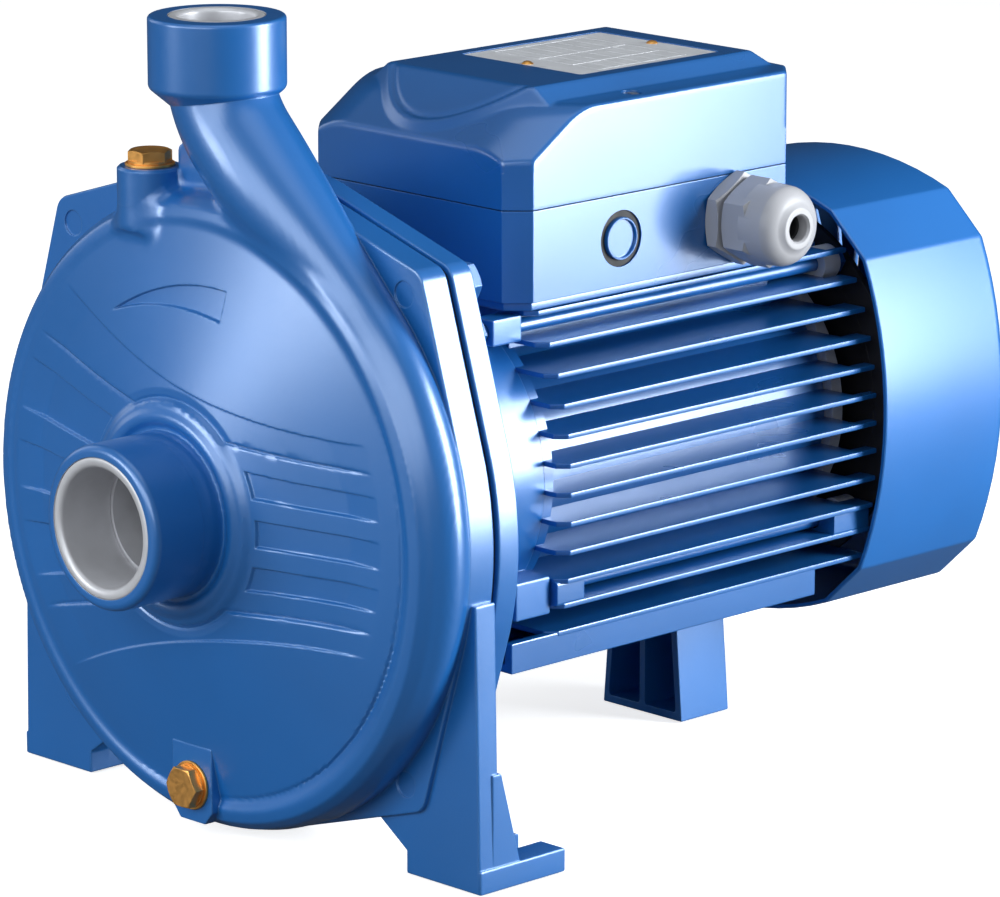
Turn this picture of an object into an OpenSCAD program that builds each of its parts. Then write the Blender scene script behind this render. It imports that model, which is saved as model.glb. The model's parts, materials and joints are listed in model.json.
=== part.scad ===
// Close-coupled centrifugal water pump with a finned, fan-cooled motor.
// Millimetres. The origin is the centre of the suction port's face on the shaft axis,
// +Y runs along the shaft towards the motor and +Z points up.

/* [Casing] */
// Height of the shaft axis above the feet
shaft_h = 110.6; // [108:0.2:116]
// Outer radius of the suction nozzle
suction_r = 27.2; // [26:0.2:30]
// Thread wall radius of the suction port
suction_thread_r = 19.5; // [18:0.1:20]
// Height of the discharge port's face above the shaft axis
discharge_z = 160; // [156:1:166]
// Distance of the discharge axis behind the suction face
discharge_y = 52; // [51:0.5:53]
// Outer radius of the discharge collar
collar_r = 22.3; // [21:0.1:24]
// Thread wall radius of the discharge port
discharge_thread_r = 12.1; // [11:0.1:12.5]
// Outer radius of the discharge neck
neck_r = 17.3; // [16.5:0.1:18]
// Outer radius of the volute bead
bead_r = 105.5; // [104:0.5:107]

/* [Flange] */
// Radius of the square flange's curved sides
flange_r = 109.5; // [108:0.5:111]
// Distance of each corner's centre from both flange centre lines
flange_corner = 82; // [81:0.5:83]
// Radius of the flange's corners
flange_corner_r = 7; // [5:0.5:9]
// Distance of each flange bolt from both centre lines
bolt_at = 80; // [79:0.5:81]

/* [Feet] */
// Half the width over the front feet
foot_half_w = 112.4; // [111:0.2:116]
// Distance from the centre line to a front foot's bolt slot
slot_x = 96.2; // [95:0.2:98]
// Width of a front foot's bolt slot
slot_w = 11; // [9:0.5:12]
// Length of a front foot's pad behind the leg's front face
pad_len = 38; // [36:1:44]

/* [Motor] */
// Bore radius of the motor housing
stator_r = 45; // [45:0.1:45.2]
// Outer radius of the motor housing between its fins
housing_r = 49; // [48.5:0.5:50]
// Half the width over the longest fins
fin_half_w = 66; // [64:0.5:67]
// Thickness of a fin
fin_t = 1.8; // [1.5:0.1:2.2]
// Length over the fins
fin_len = 153; // [150:1:154]
// Radius of the bracket's neck behind the flange
bracket_neck_r = 57; // [56.5:0.5:58]

/* [Fan cover] */
// Half the cover's width at shaft height
cover_half_w = 74; // [73:0.5:76]
// Half the cover's height on the centre line
cover_half_h = 79; // [78:0.5:81]
// Depth of the cover from its open mouth to its grille
cover_depth = 63; // [61:1:66]
// Wall thickness of the cover
cover_t = 1.5; // [1.2:0.1:2]

/* [Terminal box] */
// Half the width of the terminal box
box_half_w = 51.5; // [50:0.5:53]
// Length of the terminal box
box_len = 135.3; // [133:0.1:137]
// Height of the joint between base and lid above the shaft axis
box_split_z = 91; // [89:0.5:93]
// Height of the lid's raised panel above the shaft axis
lid_top_z = 128; // [127:0.5:130]
// Distance of the gland axis behind the suction face
gland_y = 238; // [236:0.5:240]
// Distance of the blank plug's axis behind the suction face
blank_y = 184; // [180:1:190]

/* [Hidden] */

body_blue = [0.10, 0.36, 0.72];
brass = [0.85, 0.55, 0.25];
pale_grey = [0.74, 0.74, 0.77];
bare_alu = [0.78, 0.78, 0.80];
steel = [0.62, 0.63, 0.66];
black = [0.06, 0.06, 0.07];
copper = [0.72, 0.38, 0.20];

// Stations along the shaft axis
nozzle_back_y = 25;
nozzle_chamfer = 2.5;
casing_rim_y = 41;
flange_front_y = 58;
leg_front_y = 60;
casing_back_y = 69;
gasket_t = 2;
bracket_y = casing_back_y + gasket_t;
bracket_flange_t = 9;
housing_y = 143;
shield_y = 288;
cover_y = 292;
box_y = 135.7;
stator_y = 165;
stator_len = 80;
stator_slots = 24;

floor_z = -shaft_h;
pad_t = 8;
insert_wall = 3.7;
insert_len = 21;

// Volute bead: its circle is set off from the shaft axis, so the rim swells towards the outlet
bead_x = 3;
bead_z = -2.5;

// Discharge neck: straight at 45 degrees, then an elbow to the vertical
elbow_r = 40;
elbow_z = 148.6;
neck_len = 74;

// Plug bosses
prime_x = -27.7;
prime_y = 47;
prime_top_z = 108.2;
drain_z = -93;
drain_face_y = 37.3;
plug_r = 6.5;
plug_gap = 0.05;
plug_washer_t = 1;
plug_hex_r = 7.35;

// Shaft line
shaft_seal_r = 7;
front_seat_r = 8.5;
rotor_bore_r = 10;
rear_seat_r = 6;
front_bearing_y = 107.5;
front_bearing_w = 12;
rear_bearing_y = 272;
rear_bearing_w = 10;
front_pitch_r = 14.25;
front_ball_r = 3.35;
rear_pitch_r = 11;
rear_ball_r = 2.9;

// Tie rods: [x, z] of the right-hand pair, mirrored to the left
rod_spots = [[42, 51], [53, -36.5]];
rod_r = 2.5;

fan_disc_r = 57;

// Fins: heights above the shaft axis, from the top one down
fin_heights = concat([for (k = [0:9]) 56 - 9.8 * k], [-41, -51]);

// Skirt under the housing
skirt_half_w = 60;
skirt_z = -61;
skirt_y0 = 125;
skirt_y1 = 272;
foot_screw_x = 8;

// Terminal box
box_bottom_z = 60;
box_chamfer = 7.3;
box_wall = 2.6;
joint_gap = 0.3;
lid_side_z = 123;
lid_front_z = 107;
panel_half_w = 34.5;
entry_z = 76;
gland_r = 10;
blank_r = 8.5;
lid_screw_x = 45;
lid_screw_y = 195;
plate_y0 = 188;
plate_y1 = 254;
cap_x = -22;
cap_z = 84;

// ---------- helpers ----------

function dir(a) = [cos(a), sin(a)];

// Points of an arc about c, from angle a0 to a1 in n steps
function arc(c, r, a0, a1, n = 12) = [for (i = [0:n]) c + r * dir(a0 + (a1 - a0) * i / n)];

// Square flange with bulging sides: four corner arcs joined by tangents to one large circle
function flange_outline(inset = 0) =
    let (rc = flange_corner_r - inset,
         rb = flange_r - inset,
         open = acos((rb - rc) / (flange_corner * sqrt(2))))
    [for (k = [0:3])
        let (a = 45 + 90 * k, c = flange_corner * sqrt(2) * dir(a))
        each concat(arc(c, rc, a - open, a + open, 8), arc([0, 0], rb, a + open, a + 90 - open, 8))];

// Fan cover section: bowed sides, top and bottom joined by four flats
function cover_outline(inset = 0) =
    let (ax = 63, az = 55, bx = 47, bz = 70,
         s1 = cover_half_w - ax, r1 = (az * az + s1 * s1) / (2 * s1), h1 = asin(az / r1),
         s2 = cover_half_h - bz, r2 = (bx * bx + s2 * s2) / (2 * s2), h2 = asin(bx / r2))
    concat(arc([cover_half_w - r1, 0], r1 - inset, -h1, h1, 10),
           arc([0, cover_half_h - r2], r2 - inset, 90 - h2, 90 + h2, 10),
           arc([r1 - cover_half_w, 0], r1 - inset, 180 - h1, 180 + h1, 10),
           arc([0, r2 - cover_half_h], r2 - inset, 270 - h2, 270 + h2, 10));

// Half width of a fin at height z
function fin_tip(z) = fin_half_w - 15.5 * pow(abs(z + 8) / 64, 2.5);

// Solid of revolution about the shaft axis from [radius, y] points
module turned(points) {
    rotate([-90, 0, 0]) rotate_extrude($fn = 96) polygon(points);
}

// Round bar along +Y
module bar_y(y0, y1, r, x = 0, z = 0) {
    translate([x, y0, z]) rotate([-90, 0, 0]) cylinder(h = y1 - y0, r = r, $fn = 64);
}

// Round bar along +X
module bar_x(x0, x1, r, y, z) {
    translate([x0, y, z]) rotate([0, 90, 0]) cylinder(h = x1 - x0, r = r, $fn = 64);
}

// Round bar along +Z
module bar_z(z0, z1, r, x = 0, y = 0) {
    translate([x, y, z0]) cylinder(h = z1 - z0, r = r, $fn = 64);
}

// X-Z outline given a thickness from y0 to y1
module slab_y(y0, y1) {
    translate([0, y1, 0]) rotate([90, 0, 0]) linear_extrude(y1 - y0) children();
}

// Box between two corners
module block(low, high) {
    translate(low) cube(high - low);
}

// The child and its mirror image across the Y-Z plane
module both_sides() {
    children();
    mirror([1, 0, 0]) children();
}

module at_bolts() {
    for (x = [-bolt_at, bolt_at], z = [-bolt_at, bolt_at]) translate([x, 0, z]) children();
}

// Tie rod stations on both sides
module at_rods() {
    both_sides() for (p = rod_spots) translate([p[0], 0, p[1]]) children();
}

// Run of the discharge passage at radius r, up to height top_z
module neck_run(r, top_z) {
    bend = elbow_r * (1 - cos(45));
    translate([bend, discharge_y, elbow_z - elbow_r * sin(45)]) rotate([0, 135, 0]) {
        cylinder(h = neck_len, r = r, $fn = 64);
        translate([0, 0, neck_len]) cylinder(h = 22, r1 = r, r2 = r - 7, $fn = 64);
        translate([-elbow_r, 0, 0]) rotate([-90, 0, 0]) rotate_extrude(angle = 45, $fn = 96)
            translate([elbow_r, 0]) circle(r = r, $fn = 64);
    }
    bar_z(elbow_z, top_z, r, 0, discharge_y);
}

// ---------- pump casing ----------

// One front leg with its slotted pad, on the right-hand side
module front_leg() {
    edge_x = foot_half_w - 0.6;
    slab_y(leg_front_y, casing_back_y) polygon([
        [62, -92], [78, -103], [78, floor_z], [edge_x, floor_z], [110, -16], [76, -16]]);
    difference() {
        block([78, leg_front_y, floor_z], [foot_half_w, leg_front_y + pad_len, floor_z + pad_t]);
        bar_z(floor_z - 1, floor_z + pad_t + 1, slot_w / 2, slot_x, 84);
        block([slot_x - slot_w / 2, 84, floor_z - 1],
              [slot_x + slot_w / 2, leg_front_y + pad_len + 1, floor_z + pad_t + 1]);
    }
    leg_rib(slot_x + slot_w / 2 + 1, edge_x, -72);
    leg_rib(78, slot_x - slot_w / 2 - 1, -93);
}

// Rib between a leg's back and its pad, from x0 to x1, starting at height z_top
module leg_rib(x0, x1, z_top) {
    translate([x0, 0, 0]) rotate([90, 0, 90]) linear_extrude(x1 - x0)
        polygon([[68, z_top], [70, z_top], [78, floor_z + pad_t - 1], [68, floor_z + pad_t - 1]]);
}

module casing_outside() {
    turned([[0, 0], [suction_r - nozzle_chamfer, 0], [suction_r, nozzle_chamfer],
            [suction_r, nozzle_back_y],
            [32, nozzle_back_y + 2.5], [96, casing_rim_y], [96, 68], [0, 68]]);
    translate([bead_x, 0, bead_z])
        turned([[88, 46], [93, 41.5], [97.5, 40], [bead_r - 4, 41.5], [bead_r - 1.1, 45.5],
                [bead_r, 51], [bead_r, 60], [88, 60]]);
    slab_y(flange_front_y, casing_back_y) polygon(flange_outline());
    neck_run(neck_r, discharge_z - 2);
    translate([0, discharge_y, 0]) rotate_extrude($fn = 96)
        polygon([[0, 131], [neck_r, 131.5], [collar_r, 136], [collar_r, discharge_z - 0.6],
                 [collar_r - 0.6, discharge_z], [0, discharge_z]]);
    slab_y(50, 58) polygon([[-18, 90], [-18, 115], [-13, 119], [2, 128], [8, 90]]);
    bar_z(90, prime_top_z, 10.8, prime_x, prime_y);
    slab_y(drain_face_y, 60) polygon([
        [-9.7, -80], [9.7, -80], [9.7, -101], [6, -105.5], [-6, -105.5], [-9.7, -101]]);
    both_sides() front_leg();
}

module casing_hollows() {
    bar_y(-1, 36, suction_thread_r - 1);
    bar_y(-1, insert_len, suction_thread_r + insert_wall);
    turned([[0, 33.5], [26.4, 33.5], [26.4, 38], [86, 47.5], [90, 50], [90, 67], [96.6, 67],
            [96.6, 70], [0, 70]]);
    translate([bead_x - 1, 0, bead_z + 1])
        turned([[80, 48], [92, 48], [97.5, 52], [97.5, 59], [94, 63], [80, 63]]);
    neck_run(discharge_thread_r - 0.1, discharge_z - 1);
    bar_z(discharge_z - insert_len, discharge_z + 1, discharge_thread_r + insert_wall, 0, discharge_y);
    bar_z(84, prime_top_z + 1, plug_r + plug_gap, prime_x, prime_y);
    bar_y(drain_face_y - 1, 52, plug_r + plug_gap, 0, drain_z);
    at_bolts() bar_y(61, 70, 4);
    // the neck is flattened where the gasket and the bracket stand behind it
    block([-60, casing_back_y, -20], [100, casing_back_y + 3, 112]);
}

module pump_casing() {
    color(body_blue) difference() {
        casing_outside();
        casing_hollows();
    }
}

module suction_port_insert() {
    color(pale_grey) difference() {
        bar_y(0, insert_len, suction_thread_r + insert_wall);
        bar_y(-1, insert_len + 1, suction_thread_r);
    }
}

module discharge_port_insert() {
    z0 = discharge_z - insert_len;
    color(pale_grey) difference() {
        bar_z(z0, discharge_z, discharge_thread_r + insert_wall, 0, discharge_y);
        bar_z(z0 - 1, discharge_z + 1, discharge_thread_r, 0, discharge_y);
    }
}

// Hexagon plug pointing up, its seat at z = 0
module plug() {
    translate([0, 0, plug_washer_t]) cylinder(h = 4.2, r = plug_hex_r, $fn = 6);
    translate([0, 0, -9]) cylinder(h = 9 + plug_washer_t + 0.5, r = plug_r, $fn = 64);
}

module plug_washer() {
    difference() {
        cylinder(h = plug_washer_t, r = 9.3, $fn = 64);
        translate([0, 0, -1]) cylinder(h = plug_washer_t + 2, r = plug_r + 0.08, $fn = 64);
    }
}

module at_priming() {
    translate([prime_x, prime_y, prime_top_z]) children();
}

module at_drain() {
    translate([0, drain_face_y, drain_z]) rotate([90, 0, 0]) children();
}

module priming_plug() {
    color(brass) at_priming() plug();
}

module priming_plug_washer() {
    color(steel) at_priming() plug_washer();
}

module drain_plug() {
    color(brass) at_drain() plug();
}

module drain_plug_washer() {
    color(steel) at_drain() plug_washer();
}

module casing_gasket() {
    color(black) difference() {
        slab_y(casing_back_y, bracket_y) polygon(flange_outline(1.8));
        bar_y(casing_back_y - 1, bracket_y + 1, 88);
        at_bolts() bar_y(casing_back_y - 1, bracket_y + 1, 4.5);
    }
}

module casing_bolts() {
    back = bracket_y + bracket_flange_t;
    color(body_blue) at_bolts() {
        bar_y(61.5, back + 1, 4);
        translate([0, back, 0]) rotate([-90, 0, 0]) cylinder(h = 5.5, r = 7.5, $fn = 6);
    }
}

// ---------- seal and impeller ----------

module seal_plate() {
    color(steel) turned([[14.8, 67], [96.4, 67], [96.4, casing_back_y], [16.8, casing_back_y],
                         [16.8, 75], [11, 75], [11, 73], [14.8, 73]]);
}

module seal_seat() {
    color(pale_grey) turned([[7.6, 67], [14.8, 67], [14.8, 73], [7.6, 73]]);
}

module seal_head() {
    color(black) turned([[shaft_seal_r, 61.5], [13, 61.5], [13, 66], [11, 67], [shaft_seal_r, 67]]);
}

// One bead of the seal spring's coil, a number of turns from its front end
module coil_bead(turns) {
    rotate([0, 360 * turns, 0]) translate([9.6, 56.5 + 1.7 * turns, 0]) sphere(r = 0.75, $fn = 8);
}

module seal_spring() {
    steps = 12;
    color(steel) for (i = [0:2.25 * steps - 1]) hull() {
        coil_bead(i / steps);
        coil_bead((i + 1) / steps);
    }
}

module impeller_vane() {
    intersection() {
        difference() {
            translate([0, -48]) circle(r = 59.2, $fn = 128);
            translate([0, -48]) circle(r = 57.2, $fn = 128);
        }
        translate([0, -110]) square([90, 220]);
    }
}

module impeller() {
    color(steel) {
        difference() {
            union() {
                turned([[0, 34], [12, 36], [15, 50], [15, 52.8], [80, 52.8], [80, 55], [14, 55.5],
                        [14, 55.7], [0, 55.7]]);
                turned([[22.5, 34], [25.9, 34], [25.9, 39.3], [80, 47.9], [80, 49.8],
                        [25, 41.4], [22.5, 40.4]]);
            }
            bar_y(33, 57, shaft_seal_r);
            block([-2, 30, 5], [2, 57, 8.6]);
        }
        intersection() {
            turned([[24, 40.2], [79.5, 49], [79.5, 53.5], [24, 53.5]]);
            slab_y(38, 56) for (k = [0:5]) rotate(60 * k) impeller_vane();
        }
    }
}

module impeller_key() {
    color(steel) block([-2, 38, 5], [2, 53, 8.6]);
}

module impeller_washer() {
    color(steel) difference() {
        bar_y(33, 34, 10);
        bar_y(32, 35, 5);
    }
}

module impeller_nut() {
    color(steel) difference() {
        translate([0, 28, 0]) rotate([-90, 0, 0]) cylinder(h = 5, r = 9.2, $fn = 6);
        bar_y(29, 34, 5);
    }
}

// ---------- bracket and shaft line ----------

module motor_bracket() {
    back = bracket_y + bracket_flange_t;
    color(body_blue) difference() {
        union() {
            slab_y(bracket_y, back) polygon(flange_outline());
            turned([[45, bracket_y], [62, bracket_y], [62, back], [bracket_neck_r, back + 6],
                    [bracket_neck_r, housing_y], [44.9, housing_y], [44.9, 147], [41, 147],
                    [41, 138], [52, 134], [52, 116], [26, 112], [26, 123], [9.6, 123], [9.6, 103],
                    [30, 103], [45, 106]]);
            both_sides() block([36, 129, 36], [48, housing_y, 57]);
            both_sides() block([44, 127, -42], [60, housing_y - 1, -31]);
        }
        bar_y(bracket_y - 1, 103.5, 50);
        bar_y(front_bearing_y, 124, 20);
        at_bolts() bar_y(bracket_y - 1, back + 1, 4.5);
        at_rods() bar_y(120, housing_y + 1, rod_r + 0.2);
        block([-16, 88, -70], [16, 100, -45]);
    }
}

module shaft() {
    color(steel) difference() {
        turned([[0, 29.5], [5, 29.5], [5, 34], [shaft_seal_r, 34], [shaft_seal_r, 100],
                [front_seat_r, 100], [front_seat_r, 119.5], [11.5, 119.5], [11.5, 145],
                [rotor_bore_r, 150], [rotor_bore_r, 250], [9, 251], [9, 272], [rear_seat_r, 272],
                [rear_seat_r, 335], [0, 335]]);
        block([-2, 38, 5], [2, 53, 8]);
    }
}

module shaft_slinger() {
    color(black) turned([[shaft_seal_r, 82], [10, 82], [22, 86], [22, 87.5], [10, 88],
                         [shaft_seal_r, 88]]);
}

// Ball bearing: ring between r_in and r_out with the ball groove cut from it
module bearing_ring(y0, width, r_in, r_out, pitch_r, ball_r) {
    difference() {
        bar_y(y0, y0 + width, r_out);
        bar_y(y0 - 1, y0 + width + 1, r_in);
        translate([0, y0 + width / 2, 0]) rotate([-90, 0, 0]) rotate_extrude($fn = 96)
            translate([pitch_r, 0]) circle(r = ball_r + 0.07, $fn = 48);
    }
}

module bearing_balls(y0, width, pitch_r, ball_r, count) {
    for (k = [0:count - 1]) rotate([0, 360 * k / count, 0])
        translate([pitch_r, y0 + width / 2, 0]) sphere(r = ball_r, $fn = 40);
}

module front_bearing_outer() {
    color(steel)
        bearing_ring(front_bearing_y, front_bearing_w, 16.6, 20, front_pitch_r, front_ball_r);
}

module front_bearing_inner() {
    color(steel) bearing_ring(front_bearing_y, front_bearing_w, front_seat_r, 11.9,
                              front_pitch_r, front_ball_r);
}

module front_bearing_balls() {
    color(bare_alu)
        bearing_balls(front_bearing_y, front_bearing_w, front_pitch_r, front_ball_r, 8);
}

module rear_bearing_outer() {
    color(steel) bearing_ring(rear_bearing_y, rear_bearing_w, 13.2, 16, rear_pitch_r, rear_ball_r);
}

module rear_bearing_inner() {
    color(steel)
        bearing_ring(rear_bearing_y, rear_bearing_w, rear_seat_r, 8.8, rear_pitch_r, rear_ball_r);
}

module rear_bearing_balls() {
    color(bare_alu) bearing_balls(rear_bearing_y, rear_bearing_w, rear_pitch_r, rear_ball_r, 7);
}

module wave_washer() {
    color(steel) turned([[12.5, 282], [15.6, 282], [15.6, 283.2], [12.5, 283.2]]);
}

module rotor_core() {
    color(steel) difference() {
        bar_y(stator_y, stator_y + stator_len, 27);
        bar_y(stator_y - 1, stator_y + stator_len + 1, rotor_bore_r);
    }
}

module rotor_cage() {
    color(bare_alu) for (y0 = [stator_y - 5, stator_y + stator_len]) difference() {
        bar_y(y0, y0 + 5, 25.5);
        bar_y(y0 - 1, y0 + 6, 15);
    }
}

module stator_core() {
    color(steel) slab_y(stator_y, stator_y + stator_len) difference() {
        circle(r = stator_r, $fn = 128);
        circle(r = 27.5, $fn = 128);
        for (k = [0:stator_slots - 1]) rotate(360 * k / stator_slots)
            translate([30, -1.9]) square([9, 3.8]);
    }
}

module stator_windings() {
    color(copper) {
        for (y0 = [stator_y - 15, stator_y + stator_len])
            turned([[29, y0 + 3], [32, y0], [39, y0], [42.5, y0 + 3], [42.5, y0 + 12], [39, y0 + 15],
                    [32, y0 + 15], [29, y0 + 12]]);
        slab_y(stator_y - 2, stator_y + stator_len + 2)
            for (k = [0:stator_slots - 1]) rotate(360 * k / stator_slots)
                translate([30.4, -1.6]) square([8.2, 3.2]);
    }
}

// ---------- motor housing and rear end ----------

// Space taken by the rear shield's rim and lugs, grown by gap on each side
module shield_rim(y0, y1, gap) {
    bar_y(y0, y1, 62 + gap);
    both_sides() block([36 - gap, y0, 36], [48 + gap, y1, 57.5 + gap]);
    both_sides() block([44, y0, -42 - gap], [59 + gap, y1, -31 + gap]);
}

// One fin: a plate with rounded front corners
module fin(z) {
    x = fin_tip(z);
    nose = 7;
    translate([0, housing_y, z - fin_t / 2]) linear_extrude(fin_t)
        polygon(concat([[-x, fin_len], [-x, nose]], [[2 - x, 2.4], [nose - x, 0]],
                       [[x - nose, 0], [x - 2, 2.4]], [[x, nose], [x, fin_len]]));
}

module housing_outside() {
    bar_y(housing_y, shield_y, housing_r);
    bar_y(housing_y, housing_y + 4, bracket_neck_r);
    for (z = fin_heights) fin(z);
    block([-38, housing_y + 2, 40], [38, 270, box_bottom_z]);
    both_sides() block([48, housing_y, -41], [63, housing_y + 13, -32.2]);
    both_sides() block([48, 278, -41], [63, housing_y + fin_len, -32.2]);
    block([-skirt_half_w, skirt_y0, skirt_z], [skirt_half_w, skirt_y1, skirt_z + 3]);
    both_sides() block([skirt_half_w - 3.5, skirt_y0, skirt_z], [skirt_half_w, skirt_y1, -50.5]);
    block([-20, 246, skirt_z + 1], [20, skirt_y1, -46]);
}

module motor_housing() {
    color(body_blue) difference() {
        housing_outside();
        bar_y(housing_y - 1, shield_y + 1, stator_r);
        shield_rim(shield_y, 300, 0.4);
        at_rods() bar_y(housing_y - 1, shield_y + 1, rod_r + 0.5);
        bar_z(30, box_bottom_z + 1, 9, 0, 256);
        for (x = [-30, 30], y = [155, 262]) bar_z(50, box_bottom_z + 1, 2, x, y);
        for (x = [-foot_screw_x, foot_screw_x]) bar_z(skirt_z - 1, -52, 2.5, x, 261);
        bar_z(54, box_bottom_z + 1, 2, 20, 150);
    }
}

module rear_shield() {
    color(bare_alu) difference() {
        union() {
            turned([[7.5, 283.2], [21, 271], [21, 284], [41, shield_y], [41, 284], [44.9, 284],
                    [44.9, shield_y], [60, shield_y], [60, 293], [7.5, 293]]);
            shield_rim(shield_y, 296, 0);
            both_sides() block([0, shield_y, 55], [6, 302, 77.2]);
            both_sides() block([0, shield_y, -77.2], [6, 302, -55]);
        }
        bar_y(270, 283.2, 16);
        bar_y(270, 300, 7.5);
        bar_y(293, 300, 56);
        at_rods() bar_y(shield_y - 1, 300, rod_r + 0.2);
        for (s = [-1, 1]) bar_z(min(s * 62, s * 80), max(s * 62, s * 80), 1.75, 0, 298);
    }
}

module tie_rods() {
    color(body_blue) at_rods() {
        bar_y(121, 301.5, rod_r);
        translate([0, 123, 0]) rotate([-90, 0, 0]) cylinder(h = 4, r = 4.6, $fn = 6);
        translate([0, 296, 0]) rotate([-90, 0, 0]) cylinder(h = 4, r = 4.6, $fn = 6);
    }
}

// Rear foot: channel open to the front, standing under the housing's skirt
module rear_foot() {
    wall = 2.8;
    color(body_blue) difference() {
        slab_y(248, 272) polygon([[-19.3, floor_z], [19.3, floor_z], [15.3, skirt_z], [-15.3, skirt_z]]);
        slab_y(247, 269) difference() {
            polygon([[wall - 19.3, floor_z + 3], [19.3 - wall, floor_z + 3],
                     [15.5 - wall, skirt_z - 3], [wall - 15.5, skirt_z - 3]]);
            translate([-1.2, floor_z]) square([2.4, shaft_h]);
        }
        for (x = [-foot_screw_x, foot_screw_x]) bar_z(skirt_z - 4, skirt_z + 1, 2.6, x, 261);
    }
}

module rear_foot_screws() {
    color(steel) for (x = [-foot_screw_x, foot_screw_x]) {
        bar_z(skirt_z - 4, -52.5, 2.5, x, 261);
        bar_z(skirt_z - 6.5, skirt_z - 3, 4.4, x, 261);
    }
}

module fan() {
    color(black) difference() {
        union() {
            bar_y(304, 328, 12);
            bar_y(304, 306.5, fan_disc_r);
            for (k = [0:7]) rotate([0, 45 * k, 0]) block([9, 304, -1], [58, 328, 1]);
        }
        bar_y(303, 329, rear_seat_r);
    }
}

module fan_clip() {
    color(steel) difference() {
        bar_y(328, 329.2, 9);
        bar_y(327, 330, rear_seat_r);
    }
}

module fan_cover() {
    back = cover_y + cover_depth;
    color(body_blue) difference() {
        union() {
            slab_y(cover_y, back - 1.5) polygon(cover_outline());
            slab_y(back - 1.6, back) polygon(cover_outline(1.8));
        }
        slab_y(cover_y - 1, back - 2.4) polygon(cover_outline(cover_t));
        for (ring = [[16, 30, 16], [34, 56, 32]], k = [0:ring[2] - 1])
            rotate([0, 360 * (k + 0.5) / ring[2], 0])
                block([ring[0], back - 4, -1.7], [ring[1], back + 1, 1.7]);
        for (s = [-1, 1]) bar_z(min(s * 70, s * 85), max(s * 70, s * 85), 2, 0, 298);
    }
}

module fan_cover_screws() {
    color(steel) for (s = [0, 180]) rotate([0, s, 0]) {
        bar_z(66, cover_half_h + 0.5, 1.75, 0, 298);
        bar_z(cover_half_h, cover_half_h + 2.2, 3.6, 0, 298);
    }
}

// ---------- terminal box ----------

// Plan of the terminal box: a rectangle with cut corners, shrunk by inset
module box_plan(inset = 0, y_front = box_y, half_w = box_half_w) {
    x = half_w - inset;
    y0 = y_front + inset;
    y1 = box_y + box_len - inset;
    c = box_chamfer - inset * 0.6;
    polygon([[x - c, y0], [x, y0 + c], [x, y1 - c], [x - c, y1],
             [c - x, y1], [-x, y1 - c], [-x, y0 + c], [c - x, y0]]);
}

// Layer of the terminal box plan between two heights
module box_layer(z0, z1, inset = 0, y_front = box_y, half_w = box_half_w) {
    translate([0, 0, z0]) linear_extrude(z1 - z0) box_plan(inset, y_front, half_w);
}

module terminal_box_base() {
    top = box_split_z - joint_gap;
    floor_top = box_bottom_z + 3;
    color(body_blue) difference() {
        union() {
            difference() {
                box_layer(box_bottom_z, top);
                box_layer(floor_top, top + 1, box_wall);
            }
            both_sides() bar_z(box_bottom_z + 1, top, 4.4, lid_screw_x, lid_screw_y);
        }
        both_sides() bar_z(72, top + 1, 1.6, lid_screw_x, lid_screw_y);
        bar_x(box_half_w - 5, box_half_w + 1, gland_r + 0.05, gland_y, entry_z);
        bar_x(box_half_w - 5, box_half_w + 1, blank_r, blank_y, entry_z);
        bar_z(box_bottom_z - 1, floor_top + 1, 9, 0, 256);
        for (x = [-30, 30], y = [155, 262]) bar_z(box_bottom_z - 1, floor_top + 1, 2.2, x, y);
        bar_z(box_bottom_z - 1, floor_top + 1, 2.2, 20, 150);
    }
}

module terminal_box_gasket() {
    color(black) difference() {
        box_layer(box_split_z - joint_gap, box_split_z + joint_gap, 1);
        box_layer(box_split_z - 1, box_split_z + 1, box_wall);
    }
}

// Domed lid form, shrunk by inset
module lid_form(inset) {
    hull() {
        box_layer(box_split_z + joint_gap, lid_front_z - inset * 0.6, inset);
        box_layer(lid_front_z, lid_side_z - inset, inset, 166);
    }
    hull() {
        box_layer(lid_side_z - inset - 1, lid_side_z - inset, inset, 160, panel_half_w + 6);
        box_layer(lid_side_z, lid_top_z - inset, inset + 4.5, 166, panel_half_w + 4.5);
    }
}

module terminal_box_lid() {
    color(body_blue) difference() {
        union() {
            difference() {
                lid_form(0);
                translate([0, 0, -0.1]) lid_form(box_wall);
            }
            both_sides() bar_z(box_split_z + joint_gap, lid_side_z - 1, 4.4, lid_screw_x, lid_screw_y);
        }
        both_sides() bar_z(box_split_z, lid_side_z + 1, 1.8, lid_screw_x, lid_screw_y);
        both_sides() bar_z(lid_side_z - 2.5, lid_side_z + 1, 3.4, lid_screw_x, lid_screw_y);
        block([-29, plate_y0 - 0.5, lid_top_z - 1.1], [29, plate_y1 + 0.5, lid_top_z + 1]);
        for (y = [plate_y0 + 3, plate_y1 - 3]) bar_z(lid_top_z - 4, lid_top_z, 1.2, 0, y);
    }
}

module lid_screws() {
    color(steel) both_sides() {
        bar_z(76, lid_side_z - 2, 1.55, lid_screw_x, lid_screw_y);
        bar_z(lid_side_z - 2.4, lid_side_z - 0.3, 3.2, lid_screw_x, lid_screw_y);
    }
}

module base_screws() {
    floor_top = box_bottom_z + 3;
    color(steel) for (x = [-30, 30], y = [155, 262]) {
        bar_z(51, floor_top + 1, 2, x, y);
        bar_z(floor_top, floor_top + 2.6, 3.8, x, y);
    }
}

module rating_plate() {
    z0 = lid_top_z - 1.1;
    color(pale_grey) difference() {
        block([-28.5, plate_y0, z0], [28.5, plate_y1, z0 + 0.6]);
        for (y = [plate_y0 + 3, plate_y1 - 3]) bar_z(z0 - 1, z0 + 1, 1.25, 0, y);
    }
}

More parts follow.
